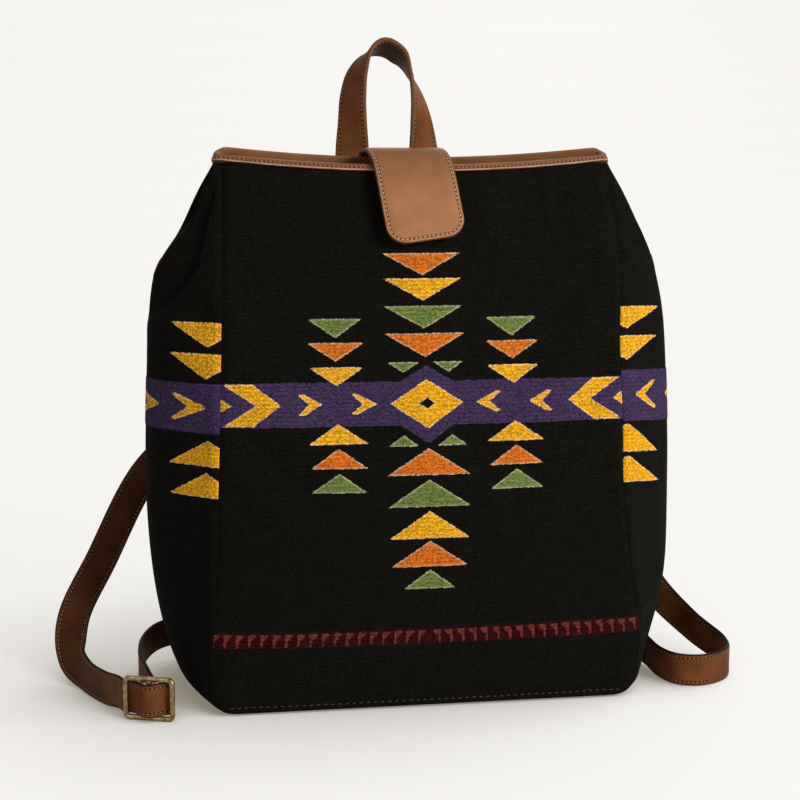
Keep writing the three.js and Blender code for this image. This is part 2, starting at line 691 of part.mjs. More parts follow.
function buckle(frame) {
  const form = roundedRectangle(BUCKLE_LENGTH, buckleHeight, BUCKLE_CORNER);
  const slotLength = BUCKLE_LENGTH / 2 - 1.5 * BUCKLE_BAR;
  for (const side of [LEFT, RIGHT]) {
    const middle = side * (BUCKLE_BAR / 2 + slotLength / 2);
    const slot = roundedRectangle(slotLength, slotHeight, BUCKLE_CORNER - BUCKLE_BAR, THREE.Path);
    const points = slot.getPoints(2).map((p) => p.setX(p.x + middle));
    form.holes.push(new THREE.Path(points.slice(0, -1)));
  }
  const frameBar = new THREE.ExtrudeGeometry(form, {
    depth: BUCKLE_THICK - 2 * BUCKLE_EDGE,
    bevelThickness: BUCKLE_EDGE,
    bevelSize: BUCKLE_EDGE,
    bevelOffset: -BUCKLE_EDGE,
    bevelSegments: 1,
    curveSegments: 2,
  });
  frameBar.translate(0, 0, BUCKLE_EDGE - BUCKLE_THICK / 2);
  const turn = new THREE.Matrix4().makeBasis(frame.along, vec(0, 0, 1), frame.face);
  return frameBar.applyMatrix4(turn).translate(...frame.middle.toArray());
}

// Stops of a strap that runs behind a buckle's end bars and over its middle bar, then ends.
function throughBuckle(frame) {
  const outside = BUCKLE_LENGTH / 2 + 1;
  const tail = BUCKLE_LENGTH / 2 - BUCKLE_TAIL;
  const wave = [-4, -3, -2, -1, 0, 1, 2, 3, 4].map((step) => {
    const lift = (1 + Math.cos((Math.PI * step) / 4)) / 2;
    return [(buckleWave * step) / 4, lerp(strapUnder, strapOver, lift)];
  });
  const run = [[-outside, strapUnder - GAP], ...wave, [tail, strapUnder]];
  return run.map(([a, out]) => ({ at: frame.at(a, out), wide: vec(0, 0, 1) }));
}

function strap(stops) {
  const section = bandSection(STRAP_WIDTH, -STRAP_THICK / 2, STRAP_THICK / 2);
  return sweep(routeFrames(stops, 3), () => section);
}

const strapOnYoke = onPatch + STRAP_THICK / 2;
const lying = STRAP_WIDTH / 2 + GAP; // height of a strap's middle where it stands on its edge on the floor

function leftStrap() {
  return strap([
    sewn(-30, yokeHigh - 33, strapOnYoke, vec(0.8, 0, -0.6)),
    sewn(-41, yokeHigh - 48, strapOnYoke, vec(0.8, 0, -0.6)),
    { at: beside(LEFT, -72, -8, yokeLow - 32), wide: vec(0.8, 0, -0.6) },
    { at: beside(LEFT, -36, 4, yokeLow - 77), wide: vec(0.76, 0, -0.65) },
    { at: beside(LEFT, 4, 12, yokeLow - 116), wide: vec(0.74, 0, -0.67) },
    { at: beside(LEFT, 39, 13, yokeLow - 150), wide: vec(0.84, 0, -0.54) },
    { at: beside(LEFT, 71, -2, 76), wide: vec(0.86, 0, -0.5) },
    { at: beside(LEFT, 90, -18, 40), wide: vec(0.93, 0, -0.3) },
    { at: beside(LEFT, 91, -36, 18), wide: vec(0.75, 0, 0.66) },
    { at: beside(LEFT, 80, -61, lying), wide: vec(0.2, 0, 1) },
    { at: beside(LEFT, 67, -87, lying), wide: vec(0.1, 0, 1) },
    { at: leftBuckle.at(-BUCKLE_LENGTH / 2 - 6, strapUnder - 5), wide: vec(0, 0, 1) },
    ...throughBuckle(leftBuckle),
  ]);
}

function rightStrap() {
  return strap([
    sewn(30, yokeHigh - 33, strapOnYoke, vec(0.8, 0, 0.6)),
    sewn(41, yokeHigh - 48, strapOnYoke, vec(0.8, 0, 0.6)),
    { at: beside(RIGHT, -72, -8, yokeLow - 32), wide: vec(0.8, 0, 0.6) },
    { at: beside(RIGHT, -36, 6, yokeLow - 82), wide: vec(0.82, 0, 0.57) },
    { at: beside(RIGHT, 0, 16, yokeLow - 142), wide: vec(0.85, 0, 0.5) },
    { at: beside(RIGHT, 26, 12, 86), wide: vec(0.75, 0, 0.66) },
    { at: beside(RIGHT, 45, -10, 45), wide: vec(0.4, 0, 0.9) },
    { at: beside(RIGHT, 65, -42, 22), wide: vec(0.1, 0, 1) },
    { at: beside(RIGHT, 79, -74, lying), wide: vec(0, 0, 1) },
    { at: beside(RIGHT, 70, -100, lying), wide: vec(0, 0, 1) },
    { at: beside(RIGHT, 49, -111, lying), wide: vec(0, 0, 1) },
    { at: beside(RIGHT, 34, -106, lying), wide: vec(0, 0, 1) },
    { at: beside(RIGHT, 27, -90, lying), wide: vec(0, 0, 1) },
    { at: beside(RIGHT, 25, -67, lying + 1), wide: vec(0, 0, 1) },
    { at: rightBuckle.at(-BUCKLE_LENGTH / 2 - 8, strapUnder), wide: vec(0, 0, 1) },
    ...throughBuckle(rightBuckle),
  ]);
}

// A lower strap: a loop round the buckle's middle bar, then a band that runs back to its patch.
function lowerStrap(frame, stops) {
  const ring = new THREE.Shape();
  ring.absarc(0, 0, loopOutside, 0, 2 * Math.PI);
  const hole = new THREE.Path();
  hole.absarc(0, 0, loopInside, 0, 2 * Math.PI);
  ring.holes.push(hole);
  const options = { depth: LOWER_STRAP_WIDTH, bevelEnabled: false, curveSegments: 8 };
  const loop = new THREE.ExtrudeGeometry(ring, options);
  loop.translate(frame.middle.x, frame.middle.y, frame.middle.z - LOWER_STRAP_WIDTH / 2);
  const leaving = [loopInside + LOOP_LEATHER / 2, loopOutside + 4];
  const start = leaving.map((out) => ({ at: frame.at(0, -out), wide: vec(0, 0, 1) }));
  const section = bandSection(LOWER_STRAP_WIDTH, -STRAP_THICK / 2, STRAP_THICK / 2);
  return join(loop, [sweep(routeFrames([...start, ...stops], 4), () => section)]);
}

const anchorMiddle = ANCHOR_LOW + ANCHOR_HEIGHT / 2;

function anchorStops(side) {
  const inner = anchorPlace - ANCHOR_WIDTH / 2 + 4;
  const outer = anchorPlace + ANCHOR_WIDTH / 2;
  return [outer, inner].map((x) => sewn(side * x, anchorMiddle, strapOnYoke, vec(0, 0, 1)));
}

function leftLowerStrap() {
  return lowerStrap(leftBuckle, [
    { at: beside(LEFT, 39, -100, 18), wide: vec(0, 0, 1) },
    { at: beside(LEFT, 44, -74, 21), wide: vec(0, 0, 1) },
    { at: beside(LEFT, 42, -48, 24), wide: vec(0, 0, 1) },
    { at: beside(LEFT, 32, -22, 25), wide: vec(0, 0, 1) },
    { at: beside(LEFT, 14, -1, 22), wide: vec(0, 0, 1) },
    ...anchorStops(LEFT),
  ]);
}

function rightLowerStrap() {
  return lowerStrap(rightBuckle, [
    { at: beside(RIGHT, 12, -9, 16), wide: vec(0, 0, 1) },
    { at: beside(RIGHT, 4, 2, 18), wide: vec(0, 0, 1) },
    ...anchorStops(RIGHT),
  ]);
}

function anchor(side) {
  return backPatch(side * anchorPlace, ANCHOR_LOW, ANCHOR_LOW + ANCHOR_HEIGHT, ANCHOR_WIDTH, ANCHOR_CORNER, 4);
}

// Materials and assembly

const cloth = () => new THREE.MeshStandardMaterial({ color: 0x1b1918, roughness: 0.95, metalness: 0 });
const tanLeather = () => new THREE.MeshStandardMaterial({ color: 0x9c6b45, roughness: 0.6, metalness: 0 });
const brownLeather = () => new THREE.MeshStandardMaterial({ color: 0x4f2b18, roughness: 0.55, metalness: 0 });
const brass = () => new THREE.MeshStandardMaterial({ color: 0x86714c, roughness: 0.4, metalness: 1 });
const fibreboard = () => new THREE.MeshStandardMaterial({ color: 0x3a332c, roughness: 0.9, metalness: 0 });

const backpack = new THREE.Group();

function addPiece(name, geometry, material) {
  const piece = new THREE.Mesh(geometry, material);
  piece.name = name;
  backpack.add(piece);
}

addPiece("front_panel", frontPanel(), cloth());
addPiece("back_panel", panel(BACK), cloth());
addPiece("left_gusset", gusset(LEFT), cloth());
addPiece("right_gusset", gusset(RIGHT), cloth());
addPiece("base_panel", basePanel(), cloth());
addPiece("base_board", baseBoard(), fibreboard());
addPiece("rim_binding", rimBinding(), tanLeather());
addPiece("back_yoke", backPatch(YOKE_CENTRE, yokeLow, yokeHigh, YOKE_WIDTH, YOKE_CORNER, 8), tanLeather());
addPiece("handle", handle(), brownLeather());
addPiece("closure_tab", tabLayer(GAP / 2, tabHalf), tanLeather());
addPiece("tab_backing", tabLayer(-tabHalf, -GAP / 2), tanLeather());
addPiece("tab_root", tabRoot(), tanLeather());
addPiece("snap_socket", snapSocket(), brass());
addPiece("snap_stud", snapStud(), brass());
addPiece("snap_washer", snapWasher(), brass());
addPiece("left_strap", leftStrap(), brownLeather());
addPiece("left_buckle", buckle(leftBuckle), brass());
addPiece("left_lower_strap", leftLowerStrap(), brownLeather());
addPiece("left_anchor", anchor(LEFT), tanLeather());
addPiece("right_strap", rightStrap(), brownLeather());
addPiece("right_buckle", buckle(rightBuckle), brass());
addPiece("right_lower_strap", rightLowerStrap(), brownLeather());
addPiece("right_anchor", anchor(RIGHT), tanLeather());

export default backpack;
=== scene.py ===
"""A cloth backpack with woven figures, a leather rim, a handle, a closure tab and two shoulder straps."""
import math

import bpy
import numpy as np
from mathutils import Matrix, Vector


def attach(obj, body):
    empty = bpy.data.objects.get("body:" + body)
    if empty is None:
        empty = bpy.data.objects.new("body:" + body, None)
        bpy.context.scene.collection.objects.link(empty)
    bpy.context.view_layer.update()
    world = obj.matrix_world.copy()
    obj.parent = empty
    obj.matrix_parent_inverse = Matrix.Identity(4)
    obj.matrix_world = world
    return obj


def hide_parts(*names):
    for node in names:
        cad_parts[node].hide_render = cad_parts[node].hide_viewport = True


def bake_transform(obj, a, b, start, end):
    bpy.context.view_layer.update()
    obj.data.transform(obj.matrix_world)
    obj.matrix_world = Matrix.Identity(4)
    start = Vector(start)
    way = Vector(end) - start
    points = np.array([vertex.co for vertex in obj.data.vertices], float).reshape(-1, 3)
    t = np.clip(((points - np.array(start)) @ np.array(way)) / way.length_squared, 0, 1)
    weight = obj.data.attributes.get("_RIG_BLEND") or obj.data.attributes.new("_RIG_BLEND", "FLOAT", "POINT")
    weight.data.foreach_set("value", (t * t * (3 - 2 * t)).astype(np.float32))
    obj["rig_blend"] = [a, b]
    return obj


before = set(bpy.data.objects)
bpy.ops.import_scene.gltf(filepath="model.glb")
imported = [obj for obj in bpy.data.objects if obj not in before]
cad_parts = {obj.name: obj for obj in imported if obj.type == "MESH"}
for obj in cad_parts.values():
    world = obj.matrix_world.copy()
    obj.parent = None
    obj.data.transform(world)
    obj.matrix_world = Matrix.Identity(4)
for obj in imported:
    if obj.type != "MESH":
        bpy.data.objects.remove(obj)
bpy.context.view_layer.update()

MM = 0.001
FRONT, BACK = -1, 1
LEFT, RIGHT = -1, 1

# Sizes in millimetres, as in the solids
BAG_HEIGHT = 357
RIM_SAG = 7
BACK_RISE = 5
RISE_EDGE = 70  # how sharply the back's rise ends at the corners
BASE_WIDTH = 284
TOP_WIDTH = 253
SEAM_CURVE = 1.3
BASE_CORNER = 18
BASE_DEPTH = 124
BELLY = 7
BELLY_HEIGHT = 100
MOUTH_DEPTH = 28
PANEL_BOW = 8.5
BOW_HEIGHT = 120
GUSSET_BULGE = 45
BULGE_HEIGHT = 190
SHOULDER_HEIGHT = 225
SHOULDER_CURVE = 2.8
TUCK_DEPTH = 28
EAR = 6
CLOTH = 2.2
GAP = 0.3
LEATHER = 1.3
BINDING_OUTSIDE = 5
BINDING_INSIDE = 9
SIDE_TOP = BAG_HEIGHT + LEATHER - BINDING_OUTSIDE
HANDLE_WIDTH = 23
HANDLE_THICK = 3
STRAP_WIDTH = 22
STRAP_THICK = 2.4
LOWER_STRAP_WIDTH = 20
YOKE = {"centre": -8, "low": 284, "high": 338, "width": 136, "corner": 8}
ANCHOR = {"centre": 108, "low": 5, "high": 31, "width": 36, "corner": 6}
TAB_WIDTH = 50.5
TAB_CORNER = 14
TAB_DROP = 55
TAB_BEND = 16
TAB_ARCH = 3.5
TAB_SKEW = 12
TAB_ROOT_X = -8
TAB_ROOT_DROP = 17
SNAP_HEIGHT = 2
BUCKLE_LENGTH = 34
BUCKLE_BAR = 2.8
BUCKLE_CLEARANCE = 0.5
BUCKLE_THICK = 3
BUCKLE_CORNER = 4
BUCKLE_TAIL = 0.8
LOOP_LEATHER = 1.6

# Yarn colours
BLACK = (17, 16, 13)
PURPLE = (61, 48, 80)
YELLOW = (219, 160, 33)
ORANGE = (197, 105, 33)
GREEN = (100, 119, 63)
RED = (100, 47, 44)
DARK_RED = (46, 12, 13)
PALE = (216, 202, 168)


def linear(colour):
    """A screen colour as the linear values that a shader takes."""
    share = np.array(colour, float) / 255
    return np.where(share <= 0.04045, share / 12.92, ((share + 0.055) / 1.055) ** 2.4)


def rgba(colour):
    return (*linear(colour), 1.0)


def vec(*values):
    return np.array(values, float)


def unit(v):
    return v / np.linalg.norm(v, axis=-1, keepdims=True)


# Meshes

def in_scene(name, data):
    obj = bpy.data.objects.new(name, data)
    bpy.context.scene.collection.objects.link(obj)
    return obj


def set_values(mesh, key, values):
    mesh.attributes.new(key, "FLOAT", "POINT").data.foreach_set("value", np.asarray(values, np.float32))


def new_piece(name, points, faces, uv, attributes=()):
    """An object from points, with a map, both in millimetres, and one value per point for each attribute."""
    mesh = bpy.data.meshes.new(name)
    mesh.from_pydata((np.asarray(points) * MM).tolist(), [], faces)
    corners = np.zeros(len(mesh.loops), np.int32)
    mesh.loops.foreach_get("vertex_index", corners)
    layer = mesh.uv_layers.new(name="lay")
    layer.uv.foreach_set("vector", (np.asarray(uv)[corners] * MM).astype(np.float32).ravel())
    for key, values in attributes:
        set_values(mesh, key, values)
    mesh.shade_smooth()
    mesh.validate()
    return in_scene(name, mesh)


def points_of(piece):
    return np.array([vertex.co for vertex in piece.data.vertices]) / MM


def dress(obj, material, slot, *nodes):
    """Gives a piece its material and its body unless it is blended, and hides the solids it stands for; the
    slot is not used.
    """
    obj.data.materials.append(material)
    if "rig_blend" not in obj:
        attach(obj, "bag")
    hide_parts(*nodes)
    return obj


def grid_normals(points):
    """Outward normals of a grid whose rows run up and whose columns run left to right seen from outside."""
    return unit(np.cross(np.gradient(points, axis=1), np.gradient(points, axis=0)))


def numbered(rows, columns, start=0):
    return start + np.arange(rows * columns).reshape(rows, columns)


def quad_faces(index):
    """Faces of a grid of numbered points."""
    return np.stack([index[:-1, :-1], index[:-1, 1:], index[1:, 1:], index[1:, :-1]], -1).reshape(-1, 4)


def tube_faces(index):
    """The same where each row of points closes on itself."""
    return quad_faces(np.concatenate([index, index[:, :1]], axis=1)).tolist()


def flattened(*grids):
    """Grids of points, one after the other, as one list of points."""
    return np.concatenate([grid.reshape(-1, *grid.shape[2:]) for grid in grids])


def sheet_faces(outer, inner, coarse):
    """Faces of a closed sheet: a fine outer grid, a coarser inner grid, and the edges between them."""
    out = numbered(*outer.shape[:2])
    back = numbered(*inner.shape[:2], out.size)
    faces = quad_faces(out).tolist() + np.roll(quad_faces(back)[:, ::-1], 1, axis=1).tolist()
    for fine, wide in (
        (out[:, 0], back[:, 0]), (out[::-1, -1], back[::-1, -1]),
        (out[0, ::-1], back[0, ::-1]), (out[-1], back[-1]),
    ):
        for k in range(len(wide) - 1):
            faces.append([*fine[k * coarse:(k + 1) * coarse + 1].tolist(), int(wide[k + 1]), int(wide[k])])
    return faces


def closed_sheet(name, outer, uv, thick, coarse):
    """A closed sheet from its outer grid."""
    lining = (slice(None, None, coarse), slice(None, None, coarse))
    inner = (outer - grid_normals(outer) * thick)[lining]
    faces = sheet_faces(outer, inner, coarse)
    return new_piece(name, flattened(outer, inner), faces, flattened(uv, uv[lining]))


def arc_length(points, axis):
    steps = np.linalg.norm(np.diff(points, axis=axis), axis=-1)
    return np.insert(np.cumsum(steps, axis=axis), 0, 0, axis=axis)


# The bag's form, the same as the solids'

def half_width(z):
    taper = np.clip(1 - z / BAG_HEIGHT, 0, None)
    return TOP_WIDTH / 2 + (BASE_WIDTH - TOP_WIDTH) / 2 * taper ** SEAM_CURVE


def half_depth(z):
    low = BASE_DEPTH / 2 + BELLY * np.sin(np.pi / 2 * z / BELLY_HEIGHT)
    rise = (z - BELLY_HEIGHT) / (BAG_HEIGHT - BELLY_HEIGHT)
    swell = BASE_DEPTH / 2 + BELLY - MOUTH_DEPTH / 2
    return np.where(z < BELLY_HEIGHT, low, MOUTH_DEPTH / 2 + swell * np.cos(np.pi / 2 * rise))


def panel_face(x, z):
    bow = PANEL_BOW * np.sin(np.pi / 2 * np.clip(z / BOW_HEIGHT, 0, 1))
    return half_depth(z) - bow * (x / half_width(z)) ** 2


def rim_height(side, x):
    share = x / half_width(BAG_HEIGHT)
    rise = BACK_RISE * (1 - share ** RISE_EDGE) if side == BACK else 0
    return BAG_HEIGHT - RIM_SAG * (1 - share ** 2) + rise


def seam_x(z):
    short = np.clip(BASE_CORNER - z, 0, None)
    return half_width(z) - BASE_CORNER + np.sqrt(BASE_CORNER ** 2 - short ** 2)


def panel_normal(side, x, z):
    slope_x = (panel_face(x + 1, z) - panel_face(x - 1, z)) / 2
    slope_z = (panel_face(x, z + 1) - panel_face(x, z - 1)) / 2
    return unit(np.stack(np.broadcast_arrays(-slope_x, float(side), -slope_z), -1))


def off_panel(side, x, z, distance):
    face = np.stack(np.broadcast_arrays(x, side * panel_face(x, z), z), -1).astype(float)
    return face + panel_normal(side, x, z) * np.asarray(distance)[..., None]


def spline(points, t):
    """A smooth curve through points, at parameters from 0 to 1."""
    points = np.asarray(points, float)
    place = np.asarray(t) * (len(points) - 1)
    leg = np.clip(place.astype(int), 0, len(points) - 2)
    share = (place - leg)[..., None]
    p0, p1 = points[np.maximum(leg - 1, 0)], points[leg]
    p2, p3 = points[leg + 1], points[np.minimum(leg + 2, len(points) - 1)]
    v0, v1 = (p2 - p0) / 2, (p3 - p1) / 2
    bend, turn = 2 * p1 - 2 * p2 + v0 + v1, 3 * p2 - 3 * p1 - 2 * v0 - v1
    return ((bend * share + turn) * share + v0) * share + p1


# Where soft cloth hangs out of line: how far, at what height, over what reach
RIGHT_SEAM = [(7.3, 295, 52), (-2.4, 140, 36), (4.2, 46, 36)]
STAND_OUT = {LEFT: [(5.4, 283, 25)], RIGHT: [(2.4, 303, 18), (3.2, 72, 42)]}
FOLD_HEIGHTS = (250, 257, 264, 275, 288, 313, 345)  # the line of the left side's soft fold
FOLD_SHARES = (0.4, 0.32, 0.23, 0.155, 0.095, 0.07, 0.03)
FOLD_OPENS, FOLD_CLOSES = (248, 276), (318, 350)  # the heights over which it deepens and over which it ends
FOLD_DIP = 8
FOLD_REACH = 0.09
SWELL_CURVE = 0.55  # how soon above the base a side swells, 1 for a slow swell
RIGHT_SWELL = 0.965  # the right side's swell, as a share of the left's
EAR_PINCH = 0.52  # how much narrower an ear is where the rim holds it
PINCH_HEIGHT = 325  # where an ear begins to narrow


def slack_line(places, z):
    return sum(far * np.exp(-((z - height) / reach) ** 2) for far, height, reach in places)


def eased(value, low, high):
    share = np.clip((value - low) / (high - low), 0, 1)
    return share * share * (3 - 2 * share)


def left_fold(share, level):
    """How far the left side's cloth falls in beside the line of its fold."""
    behind = np.clip(share - np.interp(level, FOLD_HEIGHTS, FOLD_SHARES), 0, None) / FOLD_REACH
    depth = FOLD_DIP * eased(level, *FOLD_OPENS) * (1 - eased(level, *FOLD_CLOSES))
    return depth * behind * np.exp(1 - behind)


def panel_points(side, share, level):
    x = share * (seam_x(level) - GAP)
    z = level + (rim_height(side, x) - BAG_HEIGHT) * (level / BAG_HEIGHT) ** 6
    y = side * panel_face(x, z)
    if side == FRONT:
        x = x + slack_line(RIGHT_SEAM, z) * np.clip(share, 0, 1) ** 4
    return np.stack([x, y, z], -1)


def side_points(side, share, level):
    pocket = [[0, 0], [EAR, 0.17], [0.3 * EAR, 0.36], [-0.7 * TUCK_DEPTH, 0.38], [-TUCK_DEPTH, 0.5]]
    far_half = [[out, 1 - place] for out, place in pocket[-2::-1]]
    fold = spline(pocket + far_half, share)
    fold[..., 0] *= 1 - EAR_PINCH * eased(level, PINCH_HEIGHT, BAG_HEIGHT - BINDING_OUTSIDE)
    seam = seam_x(level)
    depth = 2 * panel_face(seam, level)
    swell = GUSSET_BULGE * np.sin(np.pi / 2 * np.clip(level / BULGE_HEIGHT, 0, 1) ** SWELL_CURVE)
    tuck = np.clip((level - SHOULDER_HEIGHT) / (BAG_HEIGHT - SHOULDER_HEIGHT), 0, 1) ** SHOULDER_CURVE
    out = (1 - tuck) * swell * 4 * share * (1 - share) + tuck * fold[..., 0]
    if side == RIGHT:
        out = out * np.where(out > 0, RIGHT_SWELL, 1)
        soft = slack_line(RIGHT_SEAM, level) * (1 - share) ** 8
    else:
        soft = -left_fold(share, level)
    out = out + slack_line(STAND_OUT[side], level) * np.sin(np.pi * share) ** 2 + soft
    y = ((1 - tuck) * share + tuck * fold[..., 1] - 0.5) * depth
    return np.stack([side * (seam + out), y, level], -1)


# Woven figures, as outlines in distance across and height

BAND_LOW, BAND_MIDDLE, BAND_HIGH = 187, 200.7, 214.5
BAND_PEAK = (17, 176, 224.4)  # half the width of its peaks, and the heights of the lower and the upper one
EYE = [(-5.1, BAND_MIDDLE), (0, 197.3), (5.1, BAND_MIDDLE), (0, 204.1)]  # the diamond's dark middle
DIAMOND = [(-23.7, BAND_MIDDLE), (0, 185), (23.7, BAND_MIDDLE), (0, 215.7)]
TEETH_LOW, TEETH_HIGH = 45.3, 55.5
TOOTH_PITCH = 7.8
TOOTH_COUNT = 18  # on each half of the row
SECOND_CHEVRON = 39  # how much further round a side the next chevron lies
SIDE_ARM = 5
SIDE_SPAN = (-30, 400)  # past a side's cloth at both ends

# Triangles: colour, height of the base, height of the tip, half the width
MIDDLE_COLUMN = [
    (ORANGE, 295, 281, 25.5), (YELLOW, 279, 265, 25.7), (GREEN, 261.7, 247.5, 25.9),
    (ORANGE, 244.4, 229.7, 26.4), (ORANGE, 156, 172.8, 27), (GREEN, 135.8, 153, 27),
    (YELLOW, 115.3, 133, 26.3), (ORANGE, 97, 113.7, 25.4), (GREEN, 82.5, 95, 17),
]
OUTER_COLUMN = [
    (GREEN, 254, 242, 17.3), (ORANGE, 239, 227.5, 18.2), (YELLOW, 223.7, 212, 17.5),
    (YELLOW, 176, 188.5, 19.2), (ORANGE, 161, 173.5, 18.2), (GREEN, 145.7, 158, 17.7),
]
OUTER_X = 57.5

# Chevrons: tip, tail, notch, half the height, length of the arms' ends
FRONT_CHEVRONS = [
    (32, 49, 41, 6.4, 4), (67, 82.5, 75.5, 6.4, 4), (93.5, 130, 109, 13.3, 19), (124, 134, 131, 4, 3),
]

SIDE_FIGURES = {
    LEFT: {
        "triangles": [
            (9, 252, 236.5, 28), (10, 232.5, 216.5, 28.5), (8, 162, 178.5, 33), (9, 142.5, 158, 31),
        ],
        "band": (182.8, 213.8), "chevron": (8.5, 38.5, 24), "middle": 198.6, "rise": 8.3,
        "crest": (59, 291, 279, 11),
    },
    RIGHT: {
        "triangles": [
            (5.5, 256, 241.5, 34), (5, 237, 221.5, 33.5), (3.5, 162, 180.5, 36.5), (4, 142, 159.5, 37),
        ],
        "band": (182, 215), "chevron": (12, 37.5, 24), "middle": 199, "rise": 8.8,
        "crest": (44, 290, 278, 11),
    },
}


def triangle(colour, x, base, apex, half):
    return colour, [(x - half, base), (x + half, base), (x, apex)]


def chevron(tip, tail, notch, z, rise, arm):
    upper = [(tip, z), (tail - arm, z + rise), (tail, z + rise)]
    return YELLOW, upper + [(notch, z), (tail, z - rise), (tail - arm, z - rise)]


def stripe(colour, near, far, low, high):
    return colour, [(near, low), (far, low), (far, high), (near, high)]


def mirrored(figures):
    both = [(figure, side) for figure in figures for side in (LEFT, RIGHT)]
    return [(colour, [(side * x, z) for x, z in outline]) for (colour, outline), side in both]


def front_bands():
    far = BASE_WIDTH
    half, low_peak, high_peak = BAND_PEAK
    band = [
        (-far, BAND_LOW), (-half, BAND_LOW), (0, low_peak), (half, BAND_LOW), (far, BAND_LOW),
        (far, BAND_HIGH), (half, BAND_HIGH), (0, high_peak), (-half, BAND_HIGH), (-far, BAND_HIGH),
    ]
    return [(PURPLE, band), stripe(DARK_RED, -far, far, TEETH_LOW, TEETH_HIGH)]


def front_figures():
    middle = [triangle(colour, 0, *size) for colour, *size in MIDDLE_COLUMN]
    sides = [triangle(GREEN, 14.6, 226.5, 220, 10), triangle(GREEN, 15.7, 174.2, 181, 9.7)]
    sides += [triangle(colour, OUTER_X, *size) for colour, *size in OUTER_COLUMN]
    sides += [chevron(*ends, BAND_MIDDLE, rise, arm) for *ends, rise, arm in FRONT_CHEVRONS]
    return middle + mirrored(sides) + [(YELLOW, DIAMOND)] + tooth_row()


def tooth_row():
    """Small flags, each a stem and a pennant that points to the middle of the row."""
    low, high = TEETH_LOW + 0.5, TEETH_HIGH - 1
    stem = [(0.2, low), (1.7, low), (2.4, high), (0.6, high)]
    pennant = [(2, high), (5.6, high), (5, high - 1.8), (2, high - 4.4)]
    shifts = [k * TOOTH_PITCH for k in range(-TOOTH_COUNT, 0)]
    return mirrored([
        (RED, [(x + shift, z) for x, z in outline]) for shift in shifts for outline in (stem, pennant)
    ])


def side_bands(side):
    return [stripe(PURPLE, *SIDE_SPAN, *SIDE_FIGURES[side]["band"])]


def side_figures(side):
    marks = SIDE_FIGURES[side]
    ends = [[x + k * SECOND_CHEVRON for x in marks["chevron"]] for k in range(3)]
    return [
        *(triangle(YELLOW, *place) for place in marks["triangles"]),
        *(chevron(*end, marks["middle"], marks["rise"], SIDE_ARM) for end in ends),
        triangle(RED, *marks["crest"]),
    ]


def depth_in(outline, x, z):
    """How deep points lie inside an outline, in millimetres; less than nothing outside it."""
    within = np.zeros(x.shape, bool)
    nearest = np.full(x.shape, np.inf)
    for (x0, z0), (x1, z1) in zip(outline, outline[1:] + outline[:1]):
        run, rise = x1 - x0, z1 - z0
        if rise:
            within ^= ((z0 > z) != (z1 > z)) & (x < x0 + (z - z0) * run / rise)
        share = np.clip(((x - x0) * run + (z - z0) * rise) / (run ** 2 + rise ** 2), 0, 1)
        nearest = np.minimum(nearest, np.hypot(x - x0 - share * run, z - z0 - share * rise))
    return np.where(within, nearest, -nearest)


PLAIN = -9.0  # the depth that stands for cloth with no figure near
PALE_EDGING = {YELLOW: 0.36, ORANGE: 0.4, GREEN: 0.42}  # how pale the yarns at a figure's edge are


def weave(figures, x, z, hole=None):
    """How deep each point lies in the figures, less a hole, and the colour and edging of the nearest one."""
    depth = np.full(x.shape, PLAIN)
    colours = np.zeros((*x.shape, 4))
    for colour, outline in figures:
        inside = depth_in(outline, x, z)
        colours[inside > depth] = (*linear(colour), PALE_EDGING.get(colour, 0))
        depth = np.maximum(depth, inside)
    if hole:
        depth = np.minimum(depth, -depth_in(hole, x, z))
    return depth, colours


def dye(piece, band, figure):
    """Stores depths and colours of the woven bands and figures on a cloth piece, whose lining stays plain."""
    mesh = piece.data
    count = len(mesh.vertices)
    for word, (depth, colours) in (("band", band), ("figure", figure)):
        depths = np.full(count, PLAIN)
        depths[:depth.size] = depth.ravel()
        set_values(mesh, word + "_depth", depths)
        yarn = np.zeros((count, 4), np.float32)
        yarn[:depth.size] = colours.reshape(-1, 4)
        stored = mesh.color_attributes.new(word + "_yarn", "FLOAT_COLOR", "POINT")
        stored.data.foreach_set("color", yarn.ravel())


# Cloth body

WEAVE_RISE = 0.4  # how far the woven figures stand proud
WEAVE_SLOPE = 1.2  # the width over which they rise
SEAM_PINCH = 1.5  # how deep the cloth dips into a seam
SEAM_REACH = 2.6
HEM_ROUND = 4  # radius of the cloth's turn into the base
LINING_STEP = 8  # how many steps of a panel's outside one step of its lining spans
BASE_COLUMNS, BASE_ROWS, BASE_STEP = 60, 30, 10
RIGHT_SHIFT = 3.3  # how much higher the figures lie on the right side's cloth, at its front seam
RIGHT_DROP = (0.05, 0.11)  # how steeply the weave drops across it, high up and low down
DROP_HIGH, DROP_REACH = 256, 95  # where that grows steeper, and over what height


def hem(z):
    """How far the cloth has turned in above the floor."""
    short = np.clip(HEM_ROUND - z, 0, HEM_ROUND)
    return HEM_ROUND - np.sqrt(HEM_ROUND ** 2 - short ** 2)


def levels(top, count):
    return np.linspace(0, top, count + 1)


def raised(points, band, figure, to_seam):
    """Points of a cloth grid, lifted where yarn is thicker and pulled in along its seams."""
    thick = np.clip(np.maximum(band[0], figure[0]) / WEAVE_SLOPE + 0.5, 0, 1)
    lift = WEAVE_RISE * thick - SEAM_PINCH * np.exp(-(to_seam / SEAM_REACH) ** 2)
    return points + grid_normals(points) * lift[..., None]


